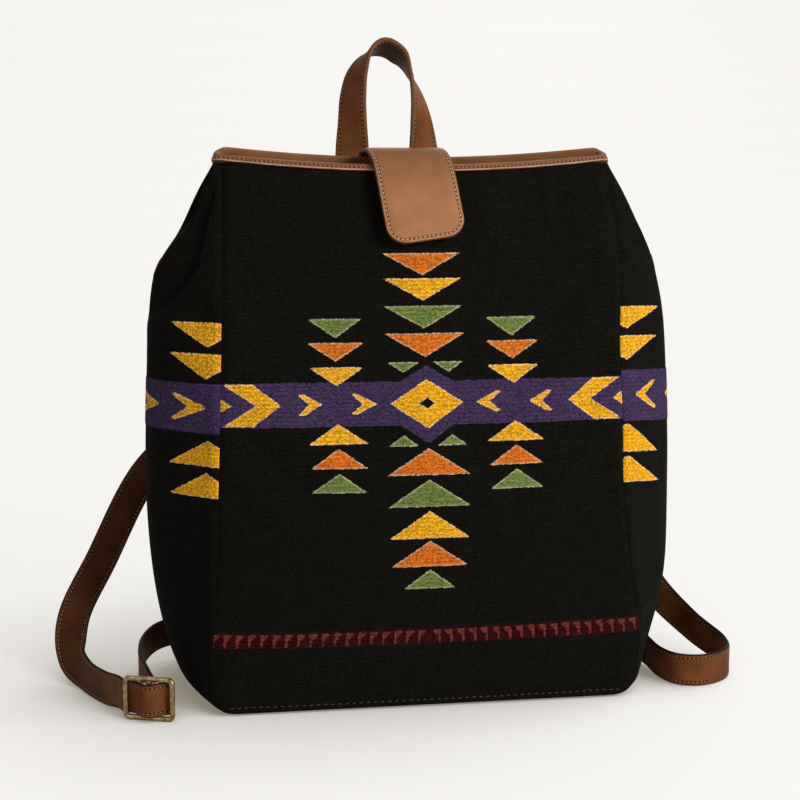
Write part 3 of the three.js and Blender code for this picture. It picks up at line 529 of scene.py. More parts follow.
def cloth_panel(name, side, columns, rows, bands, figures, slack):
    share, level = np.meshgrid(np.linspace(-1, 1, columns + 1) * -side, levels(BAG_HEIGHT, rows))
    points = panel_points(side, share, level) + resampled(slack, rows, columns)
    x, z = points[..., 0], points[..., 2]
    band, figure = weave(bands, x, z, EYE), weave(figures, x, z, EYE)
    points = raised(points, band, figure, (1 - np.abs(share)) * seam_x(level))
    points[..., 1] -= side * hem(points[..., 2])
    piece = closed_sheet(name, points, points[..., [0, 2]], CLOTH, LINING_STEP)
    dye(piece, band, figure)
    return piece


def side_drop(side, from_front, z):
    """How far the weave's level lines drop across a side."""
    if side == LEFT:
        return 0
    high, low = RIGHT_DROP
    return (high + (low - high) * np.clip((DROP_HIGH - z) / DROP_REACH, 0, 1)) * from_front - RIGHT_SHIFT


def cloth_side(name, side, columns, rows, slack):
    share, level = np.meshgrid(np.linspace(0, 1, columns + 1)[::side], levels(SIDE_TOP, rows))
    points = side_points(side, share, level) + resampled(slack, rows, columns)
    length = arc_length(points, 1)
    from_front = length if side == RIGHT else length[:, -1:] - length
    woven_z = points[..., 2] + side_drop(side, from_front, points[..., 2])
    band = weave(side_bands(side), from_front, woven_z)
    figure = weave(side_figures(side), from_front, woven_z)
    points = raised(points, band, figure, np.minimum(from_front, length[:, -1:] - from_front))
    points[..., 0] -= side * hem(points[..., 2])
    piece = closed_sheet(name, points, np.stack([from_front, woven_z], -1), CLOTH, LINING_STEP)
    dye(piece, band, figure)
    return piece


def cloth_base():
    half = BASE_WIDTH / 2 - BASE_CORNER
    deep = BASE_DEPTH / 2
    x, y = np.meshgrid(np.linspace(-half, half, BASE_COLUMNS + 1), np.linspace(deep, -deep, BASE_ROWS + 1))
    to_edge = np.minimum(half - np.abs(x), deep - np.abs(y))
    points = np.stack([x, y, SEAM_PINCH * np.exp(-(to_edge / SEAM_REACH) ** 2)], -1)
    piece = closed_sheet("base_cloth", points, points[..., :2], CLOTH, BASE_STEP)
    plain = weave([], x, y)
    dye(piece, plain, plain)
    return piece


# The cloth's slack: a coarse copy of the body is let go as cloth, and its give is laid on the fine panels

COARSE_ROWS = 30
PANEL_CELLS = 24
SIDE_CELLS = 14
SLACK_LIMIT = 2.6
SETTLING_STEPS = 30
SLACK_GRAVITY = 0.4
STUFF = {
    "quality": 8, "mass": 0.25, "tension_stiffness": 20, "compression_stiffness": 20, "shear_stiffness": 6,
    "bending_stiffness": 1.0, "shrink_min": -0.004, "vertex_group_mass": "held",
    "use_pressure": True, "uniform_pressure_force": 1.8,
}
NO_SLACK = dict.fromkeys(("front", "right", "back", "left"), np.zeros((2, 2, 3)))


def cubic(values, count):
    """Values along the first axis, resampled smoothly to a finer count of steps."""
    fine = spline(values.reshape(len(values), -1), np.linspace(0, 1, count + 1))
    return fine.reshape(count + 1, *values.shape[1:])


def resampled(grid, rows, columns):
    fine = cubic(grid, rows)
    return np.swapaxes(cubic(np.swapaxes(fine, 0, 1), columns), 0, 1)


def settled_slack():
    """How far the cloth of each panel gives between its seams, from a cloth simulation."""
    panel = np.meshgrid(np.linspace(-1, 1, PANEL_CELLS + 1), levels(SIDE_TOP, COARSE_ROWS))
    flank = np.meshgrid(np.linspace(0, 1, SIDE_CELLS + 1), levels(SIDE_TOP, COARSE_ROWS))
    grids = {
        "front": panel_points(FRONT, *panel),
        "right": side_points(RIGHT, *flank),
        "back": panel_points(BACK, -panel[0], panel[1]),
        "left": side_points(LEFT, 1 - flank[0], flank[1]),
    }
    ring = np.concatenate([g[:, :-1] for g in grids.values()], axis=1)
    index = numbered(*ring.shape[:2])
    body = new_piece("slack_body", ring.reshape(-1, 3), tube_faces(index), np.zeros((index.size, 2)))
    seams = np.cumsum([0, PANEL_CELLS, SIDE_CELLS, PANEL_CELLS])
    sewn_down = np.concatenate([index[0], index[-1], index[1:-1, seams].ravel()])
    body.vertex_groups.new(name="held").add(sewn_down.tolist(), 1.0, "REPLACE")
    cloth = body.modifiers.new("cloth", "CLOTH").settings
    for key, value in STUFF.items():
        setattr(cloth, key, value)
    cloth.effector_weights.gravity = SLACK_GRAVITY
    scene = bpy.context.scene
    for step in range(1, SETTLING_STEPS + 1):
        scene.frame_set(step)
    settled = body.evaluated_get(bpy.context.evaluated_depsgraph_get()).data
    co = np.zeros(ring.size, np.float32)
    settled.vertices.foreach_get("co", co)
    give = co.reshape(ring.shape) / MM - ring
    scene.frame_set(1)
    bpy.data.objects.remove(body)
    size = np.linalg.norm(give, axis=-1, keepdims=True)
    give *= SLACK_LIMIT * np.tanh(size / SLACK_LIMIT) / np.maximum(size, 1e-6)
    give = np.concatenate([give, give[:, :1]], axis=1)
    ends = np.append(seams, ring.shape[1])
    return {name: give[:, ends[k]:ends[k + 1] + 1] for k, name in enumerate(grids)}


# Leather bands

ROUTE_STEP = 0.8  # the spacing of a route's frames


def route(stops):
    """Frames along a curve through stops, each a place and the direction of the band's width there."""
    places = np.array([at for at, wide in stops], float)
    wides = np.array([wide for at, wide in stops], float)
    ends = [2 * places[0] - places[1], *places, 2 * places[-1] - places[-2]]
    origin, across = [], []
    for leg in range(len(places) - 1):
        p0, p1, p2, p3 = ends[leg:leg + 4]
        d0, d1, d2 = (math.sqrt(np.linalg.norm(b - a)) for a, b in ((p0, p1), (p1, p2), (p2, p3)))
        t1 = ((p1 - p0) / d0 - (p2 - p0) / (d0 + d1) + (p2 - p1) / d1) * d1
        t2 = ((p2 - p1) / d1 - (p3 - p1) / (d1 + d2) + (p3 - p2) / d2) * d1
        count = max(2, round(np.linalg.norm(p2 - p1) / ROUTE_STEP))
        last = leg == len(places) - 2
        t = (np.arange(count + last) / count)[:, None]
        bend, turn = 2 * p1 - 2 * p2 + t1 + t2, 3 * p2 - 3 * p1 - 2 * t1 - t2
        origin.append(p1 + (t1 + (turn + bend * t) * t) * t)
        across.append(spline(wides, (leg + t[:, 0]) / (len(places) - 1)))
    return framed(np.concatenate(origin), np.concatenate(across))


def framed(origin, across, closed=False):
    if closed:
        travel = unit(np.roll(origin, -1, axis=0) - np.roll(origin, 1, axis=0))
    else:
        travel = unit(np.gradient(origin, axis=0))
    across = unit(across - travel * (across * travel).sum(-1, keepdims=True))
    return origin, across, np.cross(travel, across)


def along(frames, s):
    """Places, across directions and facing directions at distances along frames."""
    travelled = arc_length(frames[0], 0)

    def at(values):
        parts = [np.interp(np.ravel(s), travelled, values[:, k]) for k in range(3)]
        return np.stack(parts, -1).reshape(*np.shape(s), 3)

    origin, across, up = (at(values) for values in frames)
    return origin, unit(across), unit(up)


def length_of(frames):
    return arc_length(frames[0], 0)[-1]


def on_route(frames):
    """Where a flat piece on a route puts a point across and along itself, and which way it faces there."""
    def place(x, s):
        origin, across, up = along(frames, s)
        return origin + across * x[..., None], up
    return place


def on_back(centre, low, distance):
    """The same for a patch that lies on the back."""
    def place(x, s):
        x, z = centre - x, low + s
        return off_panel(BACK, x, z, np.full(x.shape, distance)), panel_normal(BACK, x, z)
    return place


STITCH_INSET = 2.7  # from an edge of the leather to its line of stitches
STITCH_DIP = 0.28  # how deep the thread pulls the leather in
STITCH_PULL = 0.5  # how wide it pulls it in
DOME_REACH = (1, 8)  # where the leather swells to its full height, from its edge
EDGE_STEPS = np.array([0, 0.1, 0.32, 0.7, 1.25, 1.8, 2.2, 2.55, 2.9, 3.3, 3.9, 5])


def crowded(length, step):
    """Places from 0 to a length, close together near both ends."""
    reach = EDGE_STEPS[-1]
    middle = np.linspace(reach, length - reach, max(3, round((length - 2 * reach) / step) + 1))
    return np.concatenate([EDGE_STEPS[:-1], middle, length - EDGE_STEPS[-2::-1]])


def corner_cut(distance, radius):
    short = np.clip(radius - distance, 0, None)
    return radius - np.sqrt(radius ** 2 - short ** 2)


def flat_cut(width, length, low_corner=0.0, high_corner=0.0, step=2.0):
    """Leather as cut: grids of the place across, the place along and the distance from the edge."""
    s = crowded(length, step)
    share = crowded(width, step) / (width / 2) - 1
    half = width / 2 - np.maximum(corner_cut(s, low_corner), corner_cut(length - s, high_corner))
    x, s = share * half[:, None], np.broadcast_to(s[:, None], (len(s), len(share)))
    edge = np.minimum(width / 2 - np.abs(x), np.minimum(s, length - s))
    for radius, to_end in ((low_corner, s), (high_corner, length - s)):
        aside, beyond = np.abs(x) - (width / 2 - radius), radius - to_end
        in_corner = (aside > 0) & (beyond > 0)
        edge = np.where(in_corner, radius - np.hypot(aside, beyond), edge)
    return x, s, np.clip(edge, 0, None)


def leather(name, cut, place, thick, dome=0.25, dips=(True, True)):
    """Leather laid in place: round edges, a line pulled in by its stitches, and a soft middle."""
    x, s, edge = cut
    at, facing = place(x, s)
    if (np.cross(np.gradient(at, axis=1), np.gradient(at, axis=0)) * facing).sum() < 0:
        x, s, edge, at, facing = (values[:, ::-1] for values in (x, s, edge, at, facing))
    half = thick / 2
    wall = half * np.sqrt(1 - (1 - np.clip(edge / half, 0, 1)) ** 2)
    dip = STITCH_DIP * np.exp(-((edge - STITCH_INSET) / STITCH_PULL) ** 2)
    top = at + facing * (wall + dome * eased(edge, *DOME_REACH) - dip * dips[0])[..., None]
    under = at - facing * (wall - dip * dips[1])[..., None]
    rows, columns = x.shape
    upper = numbered(rows, columns)
    lower = upper.copy()
    lower[1:-1, 1:-1] = numbered(rows - 2, columns - 2, upper.size)
    faces = np.concatenate([quad_faces(upper), quad_faces(lower)[:, ::-1]]).tolist()
    inner = (slice(1, -1), slice(1, -1))
    lay = np.stack([x, s], -1)
    flesh = np.repeat([0, 1], [x.size, (rows - 2) * (columns - 2)])
    return new_piece(name, flattened(top, under[inner]), faces, flattened(lay, lay[inner]), [
        ("from_edge", flattened(edge, edge[inner])), ("flesh_side", flesh),
    ])


def round_line(width, length, low_corner, high_corner):
    """A line of stitches inside a cut piece's edge, as places across and along."""
    half, middle = width / 2 - STITCH_INSET, length / 2
    turn = np.linspace(0, np.pi / 2, 9)
    x, s = [[half]], [[middle]]
    for end, corner in ((1, high_corner), (-1, low_corner)):
        bend = max(corner - STITCH_INSET, 0)
        reach = middle - STITCH_INSET - bend
        x += [end * (half - bend + bend * np.cos(turn)), -end * (half - bend + bend * np.sin(turn))]
        s += [middle + end * (reach + bend * np.sin(turn)), middle + end * (reach + bend * np.cos(turn))]
    return np.concatenate([*x, [half]]), np.concatenate([*s, [middle]])


def laid_line(place, x, s, height):
    """A line across and along a flat piece, at a height over its middle, with a point every millimetre."""
    travelled = np.insert(np.cumsum(np.hypot(np.diff(x), np.diff(s))), 0, 0)
    even = np.linspace(0, travelled[-1], max(2, round(travelled[-1])))
    at, facing = place(np.interp(even, travelled, x), np.interp(even, travelled, s))
    return at + facing * height


def sewn_faces(place, width, length, thick, corner=0.0):
    """Lines of stitches round a band, on both its faces."""
    seat = thick / 2 - STITCH_DIP / 2
    return [laid_line(place, *round_line(width, length, corner, corner), face * seat) for face in (-1, 1)]


def swept(name, frames, sections, from_edge, closed=False):
    """A section (one, or one per frame) carried along frames."""
    origin, across, up = frames
    count = len(origin)
    sections = np.broadcast_to(sections, (count, *np.shape(sections)[-2:]))
    points = origin[:, None] + across[:, None] * sections[..., :1] + up[:, None] * sections[..., 1:]
    index = numbered(count, sections.shape[1])
    if closed:
        index = np.concatenate([index, index[:1]])
    faces = tube_faces(index)
    if not closed:
        faces += [index[0, ::-1].tolist(), index[-1].tolist()]
    round_it = arc_length(sections, 1)
    uv = np.stack([round_it, np.broadcast_to(arc_length(origin, 0)[:, None], round_it.shape)], -1)
    edge = np.broadcast_to(from_edge, sections.shape[:2])
    return new_piece(name, points.reshape(-1, 3), faces, uv.reshape(-1, 2), [("from_edge", edge.ravel())])


# Rim binding

CORNER_REACH = 1.3  # how much lower the rim's leather hangs where it turns a corner
CORNER_ROUND = 0.58  # how round a corner is, as a share of a half circle's
CORNER_CLIMB = 0.72  # how much of the back's rise the fold has at a corner's far end
SHELTER_REACH = 0.12  # how far from a corner the inside reaches its full depth, as a share of half the mouth
TURN_REACH = 0.05  # how far from a corner its leather hangs lower
RIM_STEPS, CORNER_STEPS = 140, 21


def rim_frames():
    """The rim's course, how deep it reaches inside, how much lower it hangs and how much higher it folds."""
    reach = half_width(BAG_HEIGHT)
    corner = panel_face(reach, BAG_HEIGHT) - CLOTH / 2
    lean = panel_face(0, BAG_HEIGHT - BINDING_OUTSIDE) - panel_face(0, BAG_HEIGHT)
    parts = []  # origin, inward, shelter, turning and climb of each run and corner
    for side in (FRONT, BACK):
        x = side * reach * np.cos(np.linspace(0, np.pi, RIM_STEPS + 1))
        z = rim_height(side, x)
        to_corner = 1 - np.abs(x / reach)
        parts.append((
            np.stack([x, side * (panel_face(x, z) - CLOTH / 2), z], -1),
            np.tile(vec(0, -side, 0), (len(x), 1)),
            np.clip(to_corner / SHELTER_REACH, 0, 1),
            1 - eased(to_corner, 0, TURN_REACH),
            CORNER_CLIMB * (x / reach) ** RISE_EDGE if side == BACK else 0 * x,
        ))
        share = np.linspace(0, 1, CORNER_STEPS + 1)[1:-1]
        angle = np.pi * (share - 0.5)
        out = -side * np.stack([np.cos(angle), np.sin(angle), 0 * angle], -1)
        parts.append((
            vec(-side * reach, 0, BAG_HEIGHT) + corner * out * vec(CORNER_ROUND, 1, 1),
            -out,
            0 * angle,
            0 * angle + 1,
            CORNER_CLIMB * eased(share if side == FRONT else 1 - share, 0, 1),
        ))
    origin, inward, shelter, turning, climb = (np.concatenate(values) for values in zip(*parts))
    up = unit(vec(0, 0, 1) + inward * lean / BINDING_OUTSIDE)
    inside_reach = BINDING_OUTSIDE + (BINDING_INSIDE - BINDING_OUTSIDE) * shelter
    return (origin, inward, up), inside_reach, CORNER_REACH * turning, BACK_RISE * climb


# The rim's outer face from top to bottom: height over its lower edge, and how far it stands out
RIM_PROFILE = [
    (3.4, 0.0), (3.0, -0.06), (STITCH_INSET, -0.3), (2.4, -0.06),
    (1.8, 0.18), (1.1, 0.18), (0.45, 0.02), (0.05, -0.5),
]


def rim_leather():
    frames, inside_reach, hang, lift = rim_frames()
    hold = CLOTH / 2 + GAP
    half = hold + LEATHER
    top = GAP + LEATHER
    low_out = top - BINDING_OUTSIDE
    turn = np.linspace(0, np.pi, 13)
    crown = np.stack([half * np.cos(turn), GAP + LEATHER * np.sin(turn)], -1)
    sections = []
    for inside_leg, lower, higher in zip(inside_reach, hang, lift):
        low_in = top - inside_leg
        outer = [(-half - out, low_out + height) for height, out in RIM_PROFILE]
        outer.append((-hold - 0.4, low_out - lower))
        inner = [
            (hold + 0.1, low_in), (half - 0.35, low_in + 0.05),
            (half, low_in + 0.5), (half + 0.15, low_in / 2),
        ]
        bottom = [(-hold, low_out - lower), (-hold, GAP + higher), (hold, GAP + higher)]
        sections.append(np.concatenate([inner, crown + vec(0, higher), outer, bottom]))
    plain = 2 * STITCH_INSET
    outside = [height for height, out in RIM_PROFILE]
    edge = [0, 0.1, 0.5, *[plain] * (len(crown) + 1), *outside, 0, 0, plain, plain]
    piece = swept("rim_leather", frames, np.array(sections), edge, closed=True)
    origin, inward, up = frames
    line = origin - inward * (half - 0.05) + up * (low_out + STITCH_INSET)
    return piece, [np.concatenate([line, line[:1]])]


# Handle, yoke and anchors

ON_PATCH = GAP + LEATHER + GAP


def sewn(x, z, distance, wide):
    normal = panel_normal(BACK, x, z)
    wide = vec(*wide)
    return off_panel(BACK, x, z, distance), unit(wide - normal * wide.dot(normal))


def handle_foot(wide, *rows):
    """Stops of a handle's end on the yoke, each its place across, its drop and how far it lifts off."""
    height = ON_PATCH + HANDLE_THICK / 2
    return [sewn(x, YOKE["high"] - drop, height + lift, (wide, 0, 0)) for x, drop, lift in rows]


def handle_frames():
    loop = [  # place across, behind the mouth and over the bag, and the way that the width lies
        ((-36.5, 19, -5), (-1, 0.1, 0)),
        ((-36.2, 21, 20), (-0.8, 0.6, 0)),
        ((-35.5, 21, 41), (-0.66, 0.75, 0)),
        ((-32.5, 21, 56), (-0.5, 0.86, -0.1)),
        ((-25, 21, 68.5), (-0.25, 0.93, -0.28)),
        ((-14.5, 21, 73), (0.05, 0.89, -0.45)),
        ((-3.5, 21, 66.5), (0.15, 0.78, -0.6)),
        ((3.5, 21, 54), (0.3, 0.8, -0.52)),
        ((8, 21, 41), (0.47, 0.85, -0.25)),
        ((11, 21, 25), (0.7, 0.71, 0)),
        ((12.8, 20, 1), (0.93, 0.37, 0)),
    ]
    return route([
        *handle_foot(-1, (-35.5, 21, 0), (-35.8, 15, GAP), (-36, 9, 3 * GAP)),
        *((vec(*place) + vec(0, MOUTH_DEPTH / 2, BAG_HEIGHT), wide) for place, wide in loop),
        *handle_foot(1, (13, 9, 3 * GAP), (13, 15, GAP), (13, 21, 0)),
    ])


def back_patch(name, centre, low, high, width, corner):
    cut = flat_cut(width, high - low, corner, corner, 3)
    place = on_back(centre, low, GAP + LEATHER / 2)
    line = laid_line(place, *round_line(width, high - low, corner, corner), LEATHER / 2 - STITCH_DIP / 2)
    return leather(name, cut, place, LEATHER, 0.1, (True, False)), line


# Closure tab

TAB_HALF = LEATHER + GAP / 2
TAB_STAND_OFF = 3 * GAP + 2 * SNAP_HEIGHT + TAB_HALF
TAB_SPREAD = 0.9  # how far the tab's leather spreads past its backing
RIM_TOP = rim_height(BACK, 0) + GAP + LEATHER
RIM_BACK = float(panel_face(0, rim_height(BACK, 0))) + GAP + LEATHER
TAB_FOLD = vec(TAB_ROOT_X, RIM_BACK + GAP + LEATHER / 2, RIM_TOP + GAP + TAB_HALF)


def tab_frames():
    """One strip of leather: up the back, over the rim, across the mouth and down the front."""
    over_binding = 2 * GAP + LEATHER + TAB_HALF
    low = RIM_TOP - BINDING_OUTSIDE
    root = [
        off_panel(BACK, TAB_ROOT_X, BAG_HEIGHT - TAB_ROOT_DROP, GAP + LEATHER / 2),
        off_panel(BACK, TAB_ROOT_X, low - 6, GAP + LEATHER / 2),
        off_panel(BACK, TAB_ROOT_X, low - 1, over_binding),
        off_panel(BACK, TAB_ROOT_X, RIM_TOP - 2 * LEATHER, over_binding + GAP),
    ]
    drops = TAB_BEND + (TAB_DROP + TAB_SPREAD - TAB_BEND) * np.array([0, 1 / 3, 2 / 3, 1])
    crown = BAG_HEIGHT + TAB_ARCH
    tab = [
        TAB_FOLD.copy(),
        vec(0, RIM_BACK * 0.4, crown),
        vec(0, -RIM_BACK * 0.4, crown - 0.5),
        vec(0, -RIM_BACK - 1, crown - 6),
        *(off_panel(FRONT, 0, BAG_HEIGHT - drop, TAB_STAND_OFF) for drop in drops),
    ]
    for k, point in enumerate(tab):
        point[0] = TAB_ROOT_X + TAB_SKEW * max(0, k - 1) / (len(tab) - 2)
    return route([(at, (1, 0, 0)) for at in root + tab])


# Slide buckles and shoulder straps

SLOT_HEIGHT = STRAP_WIDTH + 2 * BUCKLE_CLEARANCE
BUCKLE_HEIGHT = SLOT_HEIGHT + 2 * BUCKLE_BAR
BUCKLE_WAVE = BUCKLE_LENGTH / 2 - BUCKLE_BAR - 1
FRAME_BAR = BUCKLE_BAR + 0.5  # the frame's bar, a little fuller than the middle one
LOOP_INSIDE = math.hypot(BUCKLE_BAR, BUCKLE_THICK) / 2 + GAP
LOOP_OUTSIDE = LOOP_INSIDE + LOOP_LEATHER
LOOP_SOFT = 0.4
STRAP_UNDER = -(BUCKLE_THICK / 2 + GAP + STRAP_THICK / 2)
STRAP_OVER = LOOP_OUTSIDE + GAP + STRAP_THICK / 2
STRAP_ON_YOKE = ON_PATCH + STRAP_THICK / 2
LYING = STRAP_WIDTH / 2 + GAP
UPRIGHT = (0, 0, 1)
PLAIN_LEATHER = 3.0  # a distance from the edge, clear of the cut edge and the welt's painted highlight, inside the stitch groove's painted shade


def beside(side, out, back, z):
    return vec(side * (BASE_WIDTH / 2 + out), BASE_DEPTH / 2 + back, z)


class BucklePlace:
    """Where a buckle stands: its middle, the way its strap runs through it and the way its face looks."""

    def __init__(self, place, bearing):
        self.along = vec(math.cos(bearing), math.sin(bearing), 0)
        self.face = vec(math.sin(bearing), -math.cos(bearing), 0)
        self.middle = place + vec(0, 0, BUCKLE_HEIGHT / 2 + GAP)

    def at(self, a, out):
        return self.middle + self.along * a + self.face * out


BUCKLES = {
    LEFT: BucklePlace(beside(LEFT, 38, -123, 0), math.radians(-20)),
    RIGHT: BucklePlace(beside(RIGHT, 25, -20, 0), math.radians(90)),
}

# Stops beside the bag: how far out, how far back, how high, and the way that the strap's width lies
YOKE_LOW = YOKE["low"]
STRAP_STOPS = {
    LEFT: [
        (-72, -8, YOKE_LOW - 32, (0.8, 0, -0.6)),
        (-36, 4, YOKE_LOW - 77, (0.76, 0, -0.65)),
        (4, 12, YOKE_LOW - 116, (0.74, 0, -0.67)),
        (39, 13, YOKE_LOW - 150, (0.84, 0, -0.54)),
        (71, -2, 76, (0.86, 0, -0.5)),
        (90, -18, 40, (0.93, 0, -0.3)),
        (91, -36, 18, (0.75, 0, 0.66)),
        (80, -61, LYING, (0.2, 0, 1)),
        (67, -87, LYING, (0.1, 0, 1)),
    ],
    RIGHT: [
        (-72, -8, YOKE_LOW - 32, (0.8, 0, 0.6)),
        (-36, 6, YOKE_LOW - 82, (0.82, 0, 0.57)),
        (0, 16, YOKE_LOW - 142, (0.85, 0, 0.5)),
        (26, 12, 86, (0.75, 0, 0.66)),
        (45, -10, 45, (0.4, 0, 0.9)),
        (65, -42, 22, (0.1, 0, 1)),
        (79, -74, LYING, UPRIGHT),
        (70, -100, LYING, UPRIGHT),
        (49, -111, LYING, UPRIGHT),
        (34, -106, LYING, UPRIGHT),
        (27, -90, LYING, UPRIGHT),
        (25, -67, LYING + 1, UPRIGHT),
    ],
}
LOWER_STOPS = {
    LEFT: [(39, -100, 18), (44, -74, 21), (42, -48, 24), (32, -22, 25), (14, -1, 22)],
    RIGHT: [(12, -9, 16), (4, 2, 18)],
}
BEFORE_BUCKLE = {LEFT: (-6, -5), RIGHT: (-8, 0)}  # the stop just before a buckle: along it and out from it


def through_buckle(buckle):
    run = [(-BUCKLE_LENGTH / 2 - 1, STRAP_UNDER - GAP)]
    for step in range(-4, 5):
        lift = (1 + math.cos(math.pi * step / 4)) / 2
        run.append((BUCKLE_WAVE * step / 4, STRAP_UNDER + (STRAP_OVER - STRAP_UNDER) * lift))
    run.append((BUCKLE_LENGTH / 2 - BUCKLE_TAIL, STRAP_UNDER))
    return [(buckle.at(a, out), UPRIGHT) for a, out in run]


def strap_frames(side):
    buckle = BUCKLES[side]
    ahead, out = BEFORE_BUCKLE[side]
    slant = (0.8, 0, side * 0.6)
    return route([
        *(sewn(side * x, YOKE["high"] - drop, STRAP_ON_YOKE, slant) for x, drop in ((30, 33), (41, 48))),
        *((beside(side, *place), wide) for *place, wide in STRAP_STOPS[side]),
        (buckle.at(-BUCKLE_LENGTH / 2 + ahead, STRAP_UNDER + out), UPRIGHT),
        *through_buckle(buckle),
    ])


def lower_strap_frames(side):
    height = (ANCHOR["low"] + ANCHOR["high"]) / 2
    ends = (ANCHOR["centre"] + ANCHOR["width"] / 2, ANCHOR["centre"] - ANCHOR["width"] / 2 + 4)
    return route([
        *((BUCKLES[side].at(0, -out), UPRIGHT) for out in (LOOP_INSIDE + LOOP_LEATHER / 2, LOOP_OUTSIDE + 4)),
        *((beside(side, *place), UPRIGHT) for place in LOWER_STOPS[side]),
        *(sewn(side * x, height, STRAP_ON_YOKE, UPRIGHT) for x in ends),
    ])


def loop_ring(name, buckle):
    """The end of a lower strap, wrapped round the buckle's middle bar."""
    angle = np.linspace(0, 2 * np.pi, 33)[:-1]
    radial = buckle.along * np.cos(angle)[:, None] + buckle.face * np.sin(angle)[:, None]
    wide, half = LOWER_STRAP_WIDTH / 2, LOOP_LEATHER / 2
    flat, tall = half - LOOP_SOFT, wide - LOOP_SOFT
    section = np.array([
        (-flat, -wide), (flat, -wide), (half, -tall), (half, tall),
        (flat, wide), (-flat, wide), (-half, tall), (-half, -tall),
    ])
    origin = buckle.middle + radial * (LOOP_INSIDE + LOOP_OUTSIDE) / 2
    frames = (origin, radial, np.tile(vec(0, 0, 1), (len(angle), 1)))
    return swept(name, frames, section[::-1], PLAIN_LEATHER, closed=True)


def bar_section(width, thick, softness=0.7, count=16):
    """A bar's outline, between an oval and a rectangle."""
    angle = np.linspace(0, 2 * np.pi, count + 1)[:-1]
    oval = np.stack([np.cos(angle), np.sin(angle)], -1)
    return vec(width / 2, thick / 2) * np.sign(oval) * np.abs(oval) ** softness


def buckle_bars(name, buckle):
    """A buckle: a round-cornered frame of bar, and the bar across its middle."""
    half_long, half_high = (BUCKLE_LENGTH - BUCKLE_BAR) / 2, (BUCKLE_HEIGHT - BUCKLE_BAR) / 2
    radius = BUCKLE_CORNER - BUCKLE_BAR / 2
    core = vec(half_long - radius, half_high - radius)
    turn = np.pi / 2 * (np.arange(4)[:, None] + np.linspace(0, 1, 9))
    out = np.stack([np.cos(turn), np.sin(turn)], -1)
    corners = np.array([(1, 1), (-1, 1), (-1, -1), (1, -1)])[:, None]
    flat = (corners * core + radius * out).reshape(-1, 2)
    out = out.reshape(-1, 2)
    up = vec(0, 0, 1)
    origin = buckle.middle + buckle.along * flat[:, :1] + up * flat[:, 1:]
    outward = buckle.along * out[:, :1] + up * out[:, 1:]
    facing = np.tile(buckle.face, (len(flat), 1))
    frame_section = bar_section(BUCKLE_THICK, FRAME_BAR)
    ring = swept(name, (origin, facing, outward), frame_section, PLAIN_LEATHER, closed=True)
    steps = np.linspace(-half_high, half_high, 12)[:, None]
    frames = (buckle.middle + up * steps, buckle.along + 0 * steps, -buckle.face + 0 * steps)
    bar = swept(name + "_bar", frames, bar_section(BUCKLE_BAR, BUCKLE_THICK * 0.9, 0.9), PLAIN_LEATHER)
    return joined(ring, bar)


def joined(piece, *others):
    """Puts other pieces' meshes into one piece."""
    chosen = [piece, *others]
    with bpy.context.temp_override(active_object=piece, object=piece, selected_editable_objects=chosen):
        bpy.ops.object.join()
    return piece


# Stitches

def socket(tree, name, kind, inward=True):
    return tree.interface.new_socket(name, in_out="INPUT" if inward else "OUTPUT", socket_type=kind)


def feed(tree, made, inputs):
    """Sets a node's inputs, as values or as other nodes' outputs."""
    for key, value in inputs.items():
        if isinstance(value, bpy.types.NodeSocket):
            tree.links.new(value, made.inputs[key])
        else:
            made.inputs[key].default_value = value


def node(tree, kind, inputs=None, **settings):
    """Adds a node with its settings and its inputs."""
    made = tree.nodes.new(kind)
    for key, value in settings.items():
        setattr(made, key, value)
    feed(tree, made, inputs or {})
    return made


def output(tree, kind, inputs=None, **settings):
    """The first output of a new node."""
    return node(tree, kind, inputs, **settings).outputs[0]


def stitch_tree():
    """Lays a short thread along lines at an even pitch."""
    tree = bpy.data.node_groups.new("sewn_stitches", "GeometryNodeTree")
    socket(tree, "Lines", "NodeSocketGeometry")
    for name in ("Pitch", "Stitch Length", "Thread Width"):
        socket(tree, name, "NodeSocketFloat")
    socket(tree, "Thread", "NodeSocketMaterial")
    socket(tree, "Stitches", "NodeSocketGeometry", inward=False)
    given = node(tree, "NodeGroupInput").outputs
    line = output(tree, "GeometryNodeMeshToCurve", {"Mesh": given["Lines"]})
    even = output(tree, "GeometryNodeResampleCurve", {"Curve": line, "Length": given["Pitch"]}, mode="LENGTH")
    bead = output(tree, "GeometryNodeMeshUVSphere", {"Segments": 6, "Rings": 4, "Radius": 0.5})
    width = given["Thread Width"]
    size = output(tree, "ShaderNodeCombineXYZ", {"X": width, "Y": width, "Z": given["Stitch Length"]})
    thread = output(tree, "GeometryNodeTransform", {"Geometry": bead, "Scale": size})
    tangent = output(tree, "GeometryNodeInputTangent")
    turn = output(tree, "FunctionNodeAlignRotationToVector", {"Vector": tangent}, axis="Z")
    sewn_in = {"Points": even, "Instance": thread, "Rotation": turn}
    laid = output(tree, "GeometryNodeInstanceOnPoints", sewn_in)
    real = output(tree, "GeometryNodeRealizeInstances", {"Geometry": laid})
    smooth = output(tree, "GeometryNodeSetShadeSmooth", {"Geometry": real})
    dyed = output(tree, "GeometryNodeSetMaterial", {"Geometry": smooth, "Material": given["Thread"]})
    node(tree, "NodeGroupOutput", {"Stitches": dyed})
    return tree


